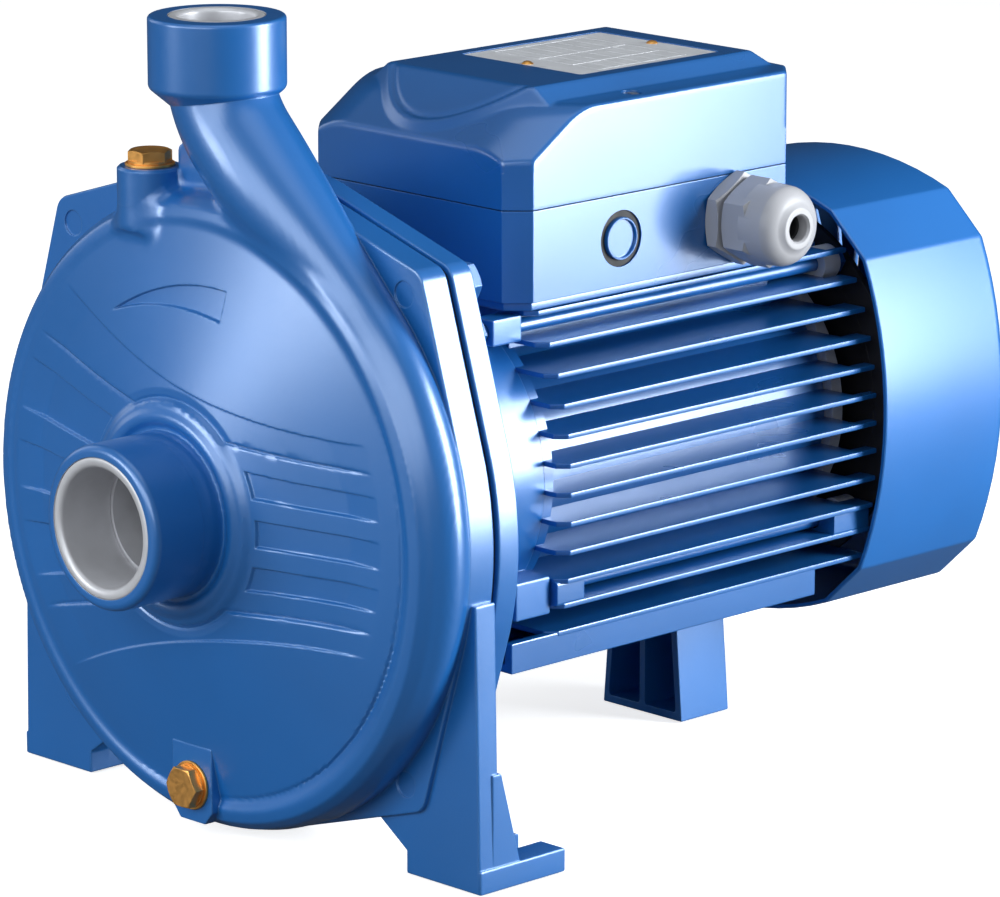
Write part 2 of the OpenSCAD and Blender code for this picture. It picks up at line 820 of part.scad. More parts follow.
module plate_rivets() {
    z0 = lid_top_z - 0.5;
    color(brass) for (y = [plate_y0 + 3, plate_y1 - 3]) {
        bar_z(z0 - 3.3, z0 + 0.1, 1.2, 0, y);
        bar_z(z0, z0 + 0.9, 2.1, 0, y);
    }
}

// Hexagon bar along +X at the gland's axis
module gland_hex(x0, x1, r) {
    translate([x0, gland_y, entry_z]) rotate([0, 90, 0]) cylinder(h = x1 - x0, r = r, $fn = 6);
}

module cable_gland_body() {
    x = box_half_w;
    color(pale_grey) difference() {
        union() {
            gland_hex(x, x + 6, 16);
            bar_x(x - 7.5, x + 0.5, gland_r, gland_y, entry_z);
            bar_x(x + 5, x + 13, 12, gland_y, entry_z);
        }
        bar_x(x - 8, x + 14, 7.5, gland_y, entry_z);
    }
}

module cable_gland_nut() {
    x = box_half_w;
    color(pale_grey) difference() {
        union() {
            gland_hex(x + 7, x + 18, 15.4);
            translate([x + 17, gland_y, entry_z]) rotate([0, 90, 0]) rotate_extrude($fn = 64)
                polygon([[0, 0], [13.2, 0], [13.2, 5], [12.4, 9], [10.4, 12], [8, 13.5], [0, 13.5]]);
        }
        bar_x(x + 6, x + 14, 12.07, gland_y, entry_z);
        bar_x(x + 13, x + 26, 9.6, gland_y, entry_z);
        bar_x(x + 25, x + 31, 5.4, gland_y, entry_z);
    }
}

module cable_gland_seal() {
    x = box_half_w;
    color(black) difference() {
        union() {
            bar_x(x + 8, x + 13.2, 7.4, gland_y, entry_z);
            bar_x(x + 13.2, x + 25.9, 9.5, gland_y, entry_z);
        }
        bar_x(x + 7, x + 27, 4.2, gland_y, entry_z);
    }
}

module cable_gland_locknut() {
    x = box_half_w - box_wall;
    color(pale_grey) difference() {
        gland_hex(x - 4, x, 12.8);
        bar_x(x - 5, x + 1, gland_r, gland_y, entry_z);
    }
}

module blank_plug() {
    x = box_half_w;
    color(body_blue) {
        bar_x(x - box_wall, x - 0.6, blank_r - 0.05, blank_y, entry_z);
        difference() {
            bar_x(x - 1, x + 0.9, blank_r - 0.05, blank_y, entry_z);
            bar_x(x - 0.6, x + 2, 7, blank_y, entry_z);
        }
    }
}

module terminal_board() {
    color(black) difference() {
        block([0, 172, box_bottom_z + 3], [36, 222, box_bottom_z + 11]);
        for (x = [8, 28], y = [182, 197, 212]) bar_z(box_bottom_z + 5, box_bottom_z + 12, 2, x, y);
    }
}

module terminal_studs() {
    z = box_bottom_z + 5;
    color(brass) for (x = [8, 28], y = [182, 197, 212]) {
        bar_z(z, z + 16, 2, x, y);
        translate([x, y, z + 6]) cylinder(h = 3.2, r = 4, $fn = 6);
    }
}

module capacitor() {
    color(pale_grey) union() {
        bar_y(160, 232, 16, cap_x, cap_z);
        bar_y(156, 161, 3, cap_x - 6, cap_z);
        bar_y(156, 161, 3, cap_x + 6, cap_z);
    }
}

module capacitor_clamp() {
    color(steel) difference() {
        union() {
            bar_y(190, 202, 17, cap_x, cap_z);
            block([cap_x - 4, 190, box_bottom_z + 3], [cap_x + 4, 202, cap_z - 12]);
        }
        bar_y(189, 203, 16, cap_x, cap_z);
    }
}

module earth_screw() {
    floor_top = box_bottom_z + 3;
    color(brass) {
        bar_z(55, floor_top + 1, 2, 20, 150);
        bar_z(floor_top, floor_top + 3, 4, 20, 150);
    }
}

pump_casing();
suction_port_insert();
discharge_port_insert();
priming_plug();
priming_plug_washer();
drain_plug();
drain_plug_washer();
casing_gasket();
casing_bolts();
seal_plate();
seal_seat();
seal_head();
seal_spring();
impeller();
impeller_key();
impeller_washer();
impeller_nut();
motor_bracket();
shaft();
shaft_slinger();
front_bearing_outer();
front_bearing_inner();
front_bearing_balls();
rear_bearing_outer();
rear_bearing_inner();
rear_bearing_balls();
wave_washer();
rotor_core();
rotor_cage();
stator_core();
stator_windings();
motor_housing();
rear_shield();
tie_rods();
rear_foot();
rear_foot_screws();
fan();
fan_clip();
fan_cover();
fan_cover_screws();
terminal_box_base();
terminal_box_gasket();
terminal_box_lid();
lid_screws();
base_screws();
rating_plate();
plate_rivets();
cable_gland_body();
cable_gland_nut();
cable_gland_seal();
cable_gland_locknut();
blank_plug();
terminal_board();
terminal_studs();
capacitor();
capacitor_clamp();
earth_screw();
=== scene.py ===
import json
import math

import bmesh
import bpy
import numpy as np
import openvdb
from mathutils import Matrix, Vector


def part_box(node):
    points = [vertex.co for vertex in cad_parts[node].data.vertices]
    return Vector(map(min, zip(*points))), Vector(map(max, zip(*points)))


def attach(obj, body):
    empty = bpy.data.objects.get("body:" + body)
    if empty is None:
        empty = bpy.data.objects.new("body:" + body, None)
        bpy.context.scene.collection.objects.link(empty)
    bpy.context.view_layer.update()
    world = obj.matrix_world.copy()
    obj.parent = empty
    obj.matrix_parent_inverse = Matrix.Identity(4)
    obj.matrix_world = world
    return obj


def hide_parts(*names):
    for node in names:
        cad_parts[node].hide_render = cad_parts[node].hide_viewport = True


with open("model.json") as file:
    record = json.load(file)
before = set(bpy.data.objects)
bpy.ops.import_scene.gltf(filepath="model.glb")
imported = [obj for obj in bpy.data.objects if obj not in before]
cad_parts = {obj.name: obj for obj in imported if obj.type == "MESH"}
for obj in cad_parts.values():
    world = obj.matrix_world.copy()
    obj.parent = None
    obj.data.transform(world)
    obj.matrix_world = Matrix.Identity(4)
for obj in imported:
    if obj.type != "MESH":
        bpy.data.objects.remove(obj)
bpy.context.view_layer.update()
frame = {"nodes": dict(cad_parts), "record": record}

# The script works in millimetres: X to the right, Y along the shaft to the rear, Z up.
# Pieces are turned into metres, the frame's own unit, when they become objects.
MM = 0.001
CASTING_STEP, LID_STEP = 1.0, 0.7


def node_box(name):
    """Lowest and highest corner of a CAD node, in millimetres."""
    low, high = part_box(name)
    return np.array(low) / MM, np.array(high) / MM


FLOOR_Z = node_box("pump_casing")[0][2]
CASING_TOP = node_box("pump_casing")[1][2]
FOOT_X = node_box("pump_casing")[1][0]
COVER_BACK = node_box("fan_cover")[1][1]
LID_LOW, LID_HIGH = node_box("terminal_box_lid")
BASE_LOW, BASE_HIGH = node_box("terminal_box_base")

# Casting
NOZZLE_R, NOZZLE_ROUND = 27.2, 2.5
PORT_SEAT_R, PORT_BORE_R, PORT_LENGTH = 23.2, 19.5, 21.0
OUTLET_Y, OUTLET_SEAT_R, OUTLET_BORE_R = 52.0, 15.8, 12.1
COLLAR_R, COLLAR_FOOT_Z = 22.3, 131.5
FACE_R0, FACE_Y0 = 35.0, 28.1
FACE_R1, FACE_Y1 = 96.0, 41.0
BEAD_X, BEAD_Z = 3.0, -2.5
FLANGE_FRONT, CASING_BACK = 58.0, 69.0
BRACKET_FRONT, BRACKET_FLANGE_BACK = 71.0, 80.0
HOUSING_Y, SHIELD_Y, COVER_Y = 143.0, 288.0, 292.0
FIN_END, COVER_SCREW_Y = 296.0, 298.0
BOLT_AT = 80.0
BOLTS = [(x, z) for x in (-BOLT_AT, BOLT_AT) for z in (-BOLT_AT, BOLT_AT)]
ELBOW_R, ELBOW_Z = 40.0, 148.6
NECK_R, NECK_WALL, RIM_R = 17.3, 5.2, 105.5
PRIME_X, PRIME_Y, PRIME_TOP, PRIME_R = -27.7, 47.0, 108.2, 10.8
DRAIN_Z, DRAIN_FACE_Y = -93.0, 37.3
PLUG_HOLE_R = 6.6
SLOT_X, SLOT_R, SLOT_Y = 96.2, 5.5, 84.0

# Motor
HOUSING_BORE, HOUSING_R, BARREL_R = 45.0, 49.0, 57.0
RODS = [(42.0, 51.0), (53.0, -36.5)]
FIN_HEIGHTS = [56 - 9.8 * k for k in range(10)] + [-41, -51]
SKIRT_X, SKIRT_Z, SKIRT_Y0, SKIRT_Y1 = 60.0, -61.0, 125.0, 272.0

# Terminal box
BOX_HALF_W = 51.5
BOX_Y0, BOX_Y1 = BASE_LOW[1], BASE_HIGH[1]
BOX_CUT = 7.3
BOX_WALL = 2.6
ENTRY_Z = 76.0
GLAND_AT, BLANK_AT, BLANK_R = (238.0, ENTRY_Z), (184.0, ENTRY_Z), 9.6
PANEL_HALF_W = 34.5
CABLE_HOLE = (0, 256)
LID_SCREWS = [(-45.0, 195.0), (45.0, 195.0)]
PLATE_Y0, PLATE_Y1, PLATE_HALF_W = 188.0, 254.0, 28.5
RIVETS_Y = (PLATE_Y0 + 3, PLATE_Y1 - 3)


# ---------- signed distances, in millimetres ----------

def smooth_min(a, b, width):
    """The lower of two distances, with a fillet where they meet."""
    low = np.minimum(a, b)
    if width <= 0:
        return low
    h = np.maximum(width - np.abs(a - b), 0)
    return low - h * h / (4 * width)


def smooth_max(a, b, width):
    return -smooth_min(-a, -b, width)


def eased(t):
    """0 to 1, with a soft start and end."""
    t = np.clip(t, 0, 1)
    return t * t * (3 - 2 * t)


def both(a, b):
    """Distance to what lies inside both a and b, rounded outside the corner."""
    return np.minimum(np.maximum(a, b), 0) + np.hypot(np.maximum(a, 0), np.maximum(b, 0))


def outline_distance(points, u, v):
    """Signed distance from (u, v) to a closed outline, negative inside."""
    shape = np.broadcast(u, v).shape
    best = np.full(shape, 1e9, np.float32)
    inside = np.zeros(shape, bool)
    for (x0, y0), (x1, y1) in zip(points, points[1:] + points[:1]):
        ex, ey = x1 - x0, y1 - y0
        t = np.clip(((u - x0) * ex + (v - y0) * ey) / (ex * ex + ey * ey), 0, 1)
        best = np.minimum(best, (u - x0 - t * ex) ** 2 + (v - y0 - t * ey) ** 2)
        if ey:
            inside ^= ((y0 > v) != (y1 > v)) & (u < x0 + (v - y0) * ex / ey)
    return np.where(inside, -1, 1) * np.sqrt(best)


def drawn(axis, section, low, high, rounding):
    """A section's distance, in the two other axes, drawn out along one axis."""
    def distance(*xyz):
        u, v = [c for k, c in enumerate(xyz) if k != axis]
        along = np.abs(xyz[axis] - (low + high) / 2) - (high - low) / 2 + rounding
        return both(section(u, v) + rounding, along) - rounding
    return distance


def prism(axis, outline, low, high, rounding=0.0):
    return drawn(axis, lambda u, v: outline_distance(outline, u, v), low, high, rounding)


def rod(axis, radius, low, high, centre=(0.0, 0.0), rounding=0.0):
    """A round bar along one axis."""
    return drawn(axis, lambda u, v: np.hypot(u - centre[0], v - centre[1]) - radius, low, high, rounding)


def lathe(axis, profile, centre=(0.0, 0.0), rounding=0.0):
    """A profile of (radius, height) points turned about a line along one axis."""
    fine = 0.2

    def distance(*xyz):
        u, v = [c for k, c in enumerate(xyz) if k != axis]
        radius = np.hypot(u - centre[0], v - centre[1])
        spans = np.arange(0, radius.max() + 2 * fine, fine, dtype=np.float32)
        table = outline_distance(profile, spans[:, None], xyz[axis].ravel()[None, :]) + rounding
        at = np.squeeze(radius, axis) / fine
        cell = at.astype(np.int32)
        part = (at - cell)[..., None].astype(np.float32)
        rows = table[cell] * (1 - part) + table[cell + 1] * part
        return np.moveaxis(rows, -1, axis) - rounding
    return distance


def rect(u0, u1, v0, v1):
    return [(u0, v0), (u1, v0), (u1, v1), (u0, v1)]


class Cast:
    """A part built up from shapes on a grid of signed distances."""

    def __init__(self, low, high, step):
        self.low = np.array(low, float) - 3 * step
        counts = np.ceil((np.array(high) + 3 * step - self.low) / step).astype(int) + 1
        self.step = step
        self.axes = [(self.low[k] + step * np.arange(counts[k])).astype(np.float32) for k in range(3)]
        self.d = np.full(counts, 30, np.float32)

    def window(self, low, high, margin):
        spans = []
        for k in range(3):
            first = int(np.searchsorted(self.axes[k], low[k] - margin))
            last = int(np.searchsorted(self.axes[k], high[k] + margin))
            spans.append(slice(first, max(last, first + 1)))
        return tuple(spans)

    def add(self, shape, low, high, blend=0.0, sign=1):
        """Adds a shape that lies between two corners; sign -1 takes it away instead."""
        spans = self.window(low, high, 3 * self.step + 2 * blend)
        x, y, z = [a[span] for a, span in zip(self.axes, spans)]
        grid = x[:, None, None], y[None, :, None], z[None, None, :]
        self.d[spans] = sign * smooth_min(sign * self.d[spans], shape(*grid), blend)

    def cut(self, shape, low, high, blend=0.0):
        self.add(shape, low, high, blend, -1)

    def sample(self, points):
        """Distance and gradient at points, by trilinear interpolation."""
        at = (points - self.low) / self.step
        cell = np.clip(at.astype(int), 0, np.array(self.d.shape) - 2)
        f = at - cell
        i, j, k = cell.T
        c = [self.d[i + a, j + b, k + e] for a in (0, 1) for b in (0, 1) for e in (0, 1)]
        fx, fy, fz = f.T
        x00, x01 = c[0] + (c[4] - c[0]) * fx, c[1] + (c[5] - c[1]) * fx
        x10, x11 = c[2] + (c[6] - c[2]) * fx, c[3] + (c[7] - c[3]) * fx
        y0, y1 = x00 + (x10 - x00) * fy, x01 + (x11 - x01) * fy
        gx = ((c[4] - c[0]) * (1 - fy) + (c[6] - c[2]) * fy) * (1 - fz)
        gx += ((c[5] - c[1]) * (1 - fy) + (c[7] - c[3]) * fy) * fz
        gy = (x10 - x00) * (1 - fz) + (x11 - x01) * fz
        return y0 + (y1 - y0) * fz, np.stack([gx, gy, y1 - y0], 1) / self.step

    def mesh(self):
        """The surface as a mesh of quads, its points pulled onto the zero distance."""
        grid = openvdb.FloatGrid(30.0)
        grid.copyFromArray(np.ascontiguousarray(np.clip(self.d, -30, 30)))
        points, triangles, quads = grid.convertToPolygons(0.0, 0.0)
        points = points * self.step + self.low
        for _ in range(2):
            value, slope = self.sample(points)
            length = np.maximum((slope ** 2).sum(1), 0.25)
            points = points - np.clip(value / length, -0.5, 0.5)[:, None] * slope
        faces = [tuple(f) for f in quads.tolist()] + [tuple(f) for f in triangles.tolist()]
        mesh = bpy.data.meshes.new("cast")
        mesh.from_pydata(points.tolist(), [], faces)
        bm = bmesh.new()
        bm.from_mesh(mesh)
        return solid(bm)


# ---------- solids in bmesh, in millimetres ----------

def solid(bm):
    """A bmesh as a mesh, with its normals outward."""
    bmesh.ops.recalc_face_normals(bm, faces=bm.faces)
    mesh = bpy.data.meshes.new("solid")
    bm.to_mesh(mesh)
    bm.free()
    return mesh


def place(axis, u, v, w):
    """The point with w along an axis and (u, v) in the two others."""
    point = [u, v]
    point.insert(axis, w)
    return point


def skin(bm, first, second):
    """Faces between two closed rings of points; a ring may be one point."""
    size = max(len(first), len(second))
    for k in range(size if size > 1 else 0):
        j = (k + 1) % size
        corners = [first[k % len(first)], first[j % len(first)],
                   second[j % len(second)], second[k % len(second)]]
        bm.faces.new(list(dict.fromkeys(corners)))


def draw_out(axis, outline, low, high, bevel=0.0):
    """An outline drawn out along one axis, all its sharp edges bevelled."""
    bm = bmesh.new()
    ends = [[bm.verts.new(place(axis, u, v, w)) for u, v in outline] for w in (low, high)]
    for ring in ends:
        bm.faces.new(ring)
    skin(bm, *ends)
    if bevel:
        bmesh.ops.recalc_face_normals(bm, faces=bm.faces)
        sharp = [e for e in bm.edges if e.calc_face_angle(0) > math.radians(25)]
        bmesh.ops.bevel(bm, geom=sharp, offset=bevel, segments=2, profile=0.5,
                        affect="EDGES", clamp_overlap=True)
    return solid(bm)


def turn(axis, profile, centre=(0.0, 0.0), steps=96):
    """A closed profile of (radius, height) turned about a line along one axis."""
    bm = bmesh.new()
    rings = []
    for radius, height in profile:
        ring = []
        for k in range(steps if radius > 1e-6 else 1):
            a = 2 * math.pi * k / steps
            u, v = centre[0] + radius * math.cos(a), centre[1] + radius * math.sin(a)
            ring.append(bm.verts.new(place(axis, u, v, height)))
        rings.append(ring)
    for first, second in zip(rings, rings[1:] + rings[:1]):
        skin(bm, first, second)
    return solid(bm)


def bar(axis, radius, low, high, centre=(0.0, 0.0), steps=48):
    """A plain round tool for boolean cuts."""
    return turn(axis, [(0, low), (radius, low), (radius, high), (0, high)], centre, steps)


def arc(cx, cy, r, a0, a1, count=8):
    """Points on an arc, from angle a0 to a1 in degrees."""
    angles = [math.radians(a0 + (a1 - a0) * k / count) for k in range(count + 1)]
    return [(cx + r * math.cos(a), cy + r * math.sin(a)) for a in angles]


def rounded(outline, radius, count=4):
    """An outline with each corner replaced by an arc that touches both sides."""
    out = []
    size = len(outline)
    for k in range(size):
        p = Vector(outline[k])
        to_a = (Vector(outline[k - 1]) - p).normalized()
        to_b = (Vector(outline[(k + 1) % size]) - p).normalized()
        half = to_a.angle(to_b) / 2
        if half > math.radians(86):
            out.append(tuple(p))
            continue
        reach = radius / math.tan(half)
        centre = p + (to_a + to_b).normalized() * (radius / math.sin(half))
        start, end = p + to_a * reach - centre, p + to_b * reach - centre
        first = math.degrees(math.atan2(start.y, start.x))
        last = math.degrees(math.atan2(end.y, end.x))
        sweep = (last - first + 180) % 360 - 180
        out += arc(centre.x, centre.y, radius, first, first + sweep, count)
    return out


def hexagon(r, phase=0.0):
    return arc(0, 0, r, phase, phase + 300, 5)


def shifted(points, dx, dy):
    return [(x + dx, y + dy) for x, y in points]


def shown(name, data):
    """A new object in the scene."""
    obj = bpy.data.objects.new(name, data)
    bpy.context.scene.collection.objects.link(obj)
    return obj


def combine(base, others, operation="UNION"):
    """Boolean of meshes: the base with the others added, taken away or kept in common."""
    holder = shown("work", base)
    tools = []
    for other in others:
        tool = shown("tool", other)
        tools.append(tool)
        step = holder.modifiers.new("step", "BOOLEAN")
        step.operation = operation
        step.solver = "MANIFOLD"
        step.object = tool
    bpy.context.view_layer.update()
    graph = bpy.context.evaluated_depsgraph_get()
    result = bpy.data.meshes.new_from_object(holder.evaluated_get(graph), depsgraph=graph)
    for item in tools + [holder]:
        bpy.data.objects.remove(item)
    return result


def carved(base, tools):
    return combine(base, tools, "DIFFERENCE")


def mirrored(mesh):
    """The mesh's mirror image across the Y-Z plane."""
    bm = bmesh.new()
    bm.from_mesh(mesh)
    for v in bm.verts:
        v.co.x = -v.co.x
    return solid(bm)


def moved(mesh, matrix):
    copy = mesh.copy()
    copy.transform(matrix)
    return copy


def joined(meshes):
    """Separate solids as one mesh."""
    bm = bmesh.new()
    for mesh in meshes:
        bm.from_mesh(mesh)
    out = bpy.data.meshes.new("joined")
    bm.to_mesh(out)
    bm.free()
    return out


def chamfered_hex(axis, r, low, high, centre=(0.0, 0.0), phase=0.0, ends=(False, True)):
    """A hexagon bar whose corners are turned off at the chosen ends."""
    bar_mesh = draw_out(axis, shifted(hexagon(r, phase), *centre), low, high)
    flat = r * math.cos(math.radians(30)) - 0.1
    drop = (r - flat) * 0.55
    profile = [(0, low)]
    profile += [(flat, low), (r + 0.1, low + drop)] if ends[0] else [(r + 0.1, low)]
    profile += [(r + 0.1, high - drop), (flat, high)] if ends[1] else [(r + 0.1, high)]
    profile.append((0, high))
    return combine(bar_mesh, [turn(axis, profile, centre, 72)], "INTERSECT")


# ---------- materials ----------

class Shader:
    """A Principled material built node by node."""

    def __init__(self, name, colour, rough, metal=0.0):
        self.material = bpy.data.materials.new(name)
        self.material.use_nodes = True
        self.tree = self.material.node_tree
        self.body = self.tree.nodes["Principled BSDF"]
        self.fix("Base Color", (*colour, 1))
        self.fix("Roughness", rough)
        self.fix("Metallic", metal)
        self.geometry = self.node("ShaderNodeNewGeometry")
        self.place = self.geometry.outputs["Position"]
        self.normal = None

    def node(self, kind, **values):
        made = self.tree.nodes.new(kind)
        for key, value in values.items():
            if hasattr(made, key):
                setattr(made, key, value)
            else:
                made.inputs[key].default_value = value
        return made

    def link(self, source, target):
        self.tree.links.new(source, target)

    def fix(self, socket, value):
        self.body.inputs[socket].default_value = value

    def feed(self, socket, source):
        self.link(source, self.body.inputs[socket])

    def noise(self, scale, detail, stretch=None):
        """Noise with a number of grains in a metre, along the stretch if one is given."""
        made = self.node("ShaderNodeTexNoise", Scale=scale, Detail=detail)
        source = self.place
        if stretch:
            mapping = self.node("ShaderNodeMapping")
            mapping.inputs["Scale"].default_value = stretch
            self.link(source, mapping.inputs["Vector"])
            source = mapping.outputs["Vector"]
        self.link(source, made.inputs["Vector"])
        return made.outputs["Fac"]

    def ramp(self, source, low, high, value_low, value_high):
        ends = {"From Min": low, "From Max": high, "To Min": value_low, "To Max": value_high}
        made = self.node("ShaderNodeMapRange", **ends)
        self.link(source, made.inputs["Value"])
        return made.outputs["Result"]

    def mix(self, factor, a, b):
        """Colour a blended to b by a factor; each is a colour or an output."""
        made = self.node("ShaderNodeMix", data_type="RGBA")
        for socket, value in ((made.inputs[6], a), (made.inputs[7], b)):
            if isinstance(value, tuple):
                socket.default_value = (*value, 1)
            else:
                self.link(value, socket)
        self.link(factor, made.inputs[0])
        return made.outputs[2]

    def bump(self, source, height_mm):
        made = self.node("ShaderNodeBump", Strength=1.0, Distance=height_mm * MM)
        self.link(source, made.inputs["Height"])
        if self.normal:
            self.link(self.normal, made.inputs["Normal"])
        self.normal = made.outputs["Normal"]

    def soft_edges(self, radius_mm):
        made = self.node("ShaderNodeBevel", samples=4)
        made.inputs["Radius"].default_value = radius_mm * MM
        self.normal = made.outputs["Normal"]
        return self.normal

    def done(self):
        if self.normal:
            self.feed("Normal", self.normal)
        return self.material

    def shades(self, source, low, high, dark, light):
        """One colour where the source is low, running to another where it is high."""
        return self.mix(self.ramp(source, low, high, 0, 1), dark, light)


def dimmed(colour, factor):
    return tuple(min(1, c * factor) for c in colour)


def paint(name, colour, light, rough, grain, edge):
    """Glossy enamel: fine texture, slow colour drift, and a painted highlight that lightens the edges."""
    s = Shader(name, colour, rough)
    sharp = s.geometry.outputs["Normal"]
    soft = s.soft_edges(edge) if edge else sharp
    base = s.shades(s.noise(14, 2), 0.35, 0.65, dimmed(colour, 0.93), dimmed(colour, 1.05))
    across = s.node("ShaderNodeVectorMath", operation="DOT_PRODUCT")
    s.link(soft, across.inputs[0])
    s.link(sharp, across.inputs[1])
    # Painted highlight: edges turn towards the lighter colour where the rounded shading normal leaves the
    # true one.
    edge_highlight = s.ramp(across.outputs["Value"], 0.995, 0.90, 0, 0.30)
    s.feed("Base Color", s.mix(edge_highlight, base, light))
    texture = s.noise(260 if grain else 25, 2)
    s.feed("Roughness", s.ramp(texture, 0, 1, rough - 0.03, rough + 0.04))
    if grain:
        s.bump(s.noise(700, 2), grain)
    s.fix("Metallic", 0.12)
    s.fix("Specular IOR Level", 1.0)
    s.fix("Specular Tint", (0.88, 0.96, 1.0, 1))
    s.fix("Coat Weight", 0.7)
    s.fix("Coat Roughness", 0.26)
    return s.done()


def surface(name, colour, rough, metallic, edge, patches, dark, gloss, spread, marks, grain):
    """Slow patches of shade, an uneven gloss and fine marks; each noise is (scale, detail, ...)."""
    s = Shader(name, colour, rough, metallic)
    s.soft_edges(edge)
    s.feed("Base Color", s.shades(s.noise(*patches), 0.35, 0.65, dimmed(colour, dark), colour))
    s.feed("Roughness", s.ramp(s.noise(*gloss), 0.3, 0.7, rough - spread[0], rough + spread[1]))
    s.bump(s.noise(*marks), grain)
    return s.done()


def metal(name, colour, rough, grain, stretch=None, scale=500):
    """Bare metal with fine machining or casting marks."""
    marks = (scale, 3, stretch)
    return surface(name, colour, rough, 1.0, 0.25, (60, 2), 0.88, marks, (0.07, 0.09), marks, grain)


def matte_metal(name, colour, rough, grain, scale):
    """Machined or blasted metal that scatters light: part metal, part matte."""
    marks = (scale, 3)
    return surface(name, colour, rough, 0.35, 0.3, (80, 2), 0.9, marks, (0.06, 0.06), marks, grain)


def polymer(name, colour, rough, grain=0.02):
    """Moulded plastic or rubber with a fine surface texture."""
    return surface(name, colour, rough, 0.0, 0.3, (40, 3), 0.9, (300, 2), (0.06, 0.06), (700, 3), grain)


def laminations(name, colour):
    """Stacked steel sheets: fine rings along the shaft."""
    s = Shader(name, colour, 0.45, 0.9)
    split = s.node("ShaderNodeSeparateXYZ")
    s.link(s.place, split.inputs[0])
    wave = s.node("ShaderNodeMath", operation="SINE")
    turns = s.node("ShaderNodeMath", operation="MULTIPLY")
    turns.inputs[1].default_value = 2 * math.pi / (0.6 * MM)
    s.link(split.outputs["Y"], turns.inputs[0])
    s.link(turns.outputs[0], wave.inputs[0])
    s.bump(wave.outputs[0], 0.03)
    s.feed("Base Color", s.shades(wave.outputs[0], -1, 1, dimmed(colour, 0.7), colour))
    return s.done()


BLUE = (0.008, 0.140, 0.460)
# The lighter colour that paint() mixes onto edges as a painted highlight.
EDGE_HIGHLIGHT_BLUE = (0.20, 0.46, 0.90)
FINISHES = {
    "cast_blue": (paint, BLUE, EDGE_HIGHLIGHT_BLUE, 0.32, 0.012, 0.7),
    "sheet_blue": (paint, BLUE, EDGE_HIGHLIGHT_BLUE, 0.30, 0, 0.5),
    "alu_blue": (paint, (0.007, 0.115, 0.380), EDGE_HIGHLIGHT_BLUE, 0.28, 0, 0),
    "gland_grey": (polymer, (0.40, 0.40, 0.42), 0.40, 0.010),
    "port_metal": (matte_metal, (0.66, 0.66, 0.69), 0.42, 0.010, 600),
    "brass": (metal, (0.98, 0.50, 0.14), 0.42, 0.004),
    "steel": (metal, (0.62, 0.63, 0.65), 0.32, 0.010),
    "bare_alu": (matte_metal, (0.78, 0.79, 0.81), 0.38, 0.020, 300),
    "black_rubber": (polymer, (0.018, 0.018, 0.020), 0.62),
    "black_plastic": (polymer, (0.022, 0.022, 0.026), 0.45),
    "lamination": (laminations, (0.42, 0.42, 0.44)),
    "copper": (metal, (0.82, 0.40, 0.22), 0.35, 0.06, (1, 14, 1), 240),
    "ceramic": (polymer, (0.78, 0.74, 0.70), 0.25, 0.005),
    "plate": (matte_metal, (0.84, 0.85, 0.88), 0.45, 0.004, 400),
    "cap_white": (polymer, (0.72, 0.73, 0.72), 0.40, 0.01),
}
MATERIALS = {name: make(name, *values) for name, (make, *values) in FINISHES.items()}
SLOTS = {part["node"]: part["material_slot"] for part in frame["record"]["subparts"]}


def piece(name, mesh, body, slot, *nodes, angle=35):
    """Turns a mesh in millimetres into a shown object that stands for CAD nodes."""
    mesh.transform(Matrix.Scale(MM, 4))
    mesh.name = name
    mesh.materials.clear()
    mesh.materials.append(MATERIALS[slot])
    mesh.polygons.foreach_set("use_smooth", [True] * len(mesh.polygons))
    mesh.polygons.foreach_set("material_index", [0] * len(mesh.polygons))
    mesh.set_sharp_from_angle(angle=math.radians(angle))
    obj = shown(name, mesh)
    even = obj.modifiers.new("even_normals", "WEIGHTED_NORMAL")
    even.keep_sharp = True
    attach(obj, body)
    if nodes:
        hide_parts(*nodes)
    return obj


def second_finish(obj, slot, picks):
    """Gives the faces whose centre, in millimetres, is picked another finish."""
    mesh = obj.data
    mesh.materials.append(MATERIALS[slot])
    centres = np.empty(len(mesh.polygons) * 3)
    mesh.polygons.foreach_get("center", centres)
    chosen = picks(*(centres.reshape(-1, 3) / MM).T)
    mesh.polygons.foreach_set("material_index", chosen.astype(np.int32))


# ---------- pump casing ----------

def flange_outline():
    """Square flange with bulging sides: corner arcs joined by tangents to one large circle."""
    big, corner, at = 109.5, 7.0, 82.0
    reach = at * math.sqrt(2)
    spread = math.degrees(math.acos((big - corner) / reach))
    points = []
    for k in range(4):
        a = 45 + 90 * k
        c = (reach * math.cos(math.radians(a)), reach * math.sin(math.radians(a)))
        points += arc(*c, corner, a - spread, a + spread, 8)
        points += arc(0, 0, big, a + spread, a + 90 - spread, 16)[1:-1]
    return points


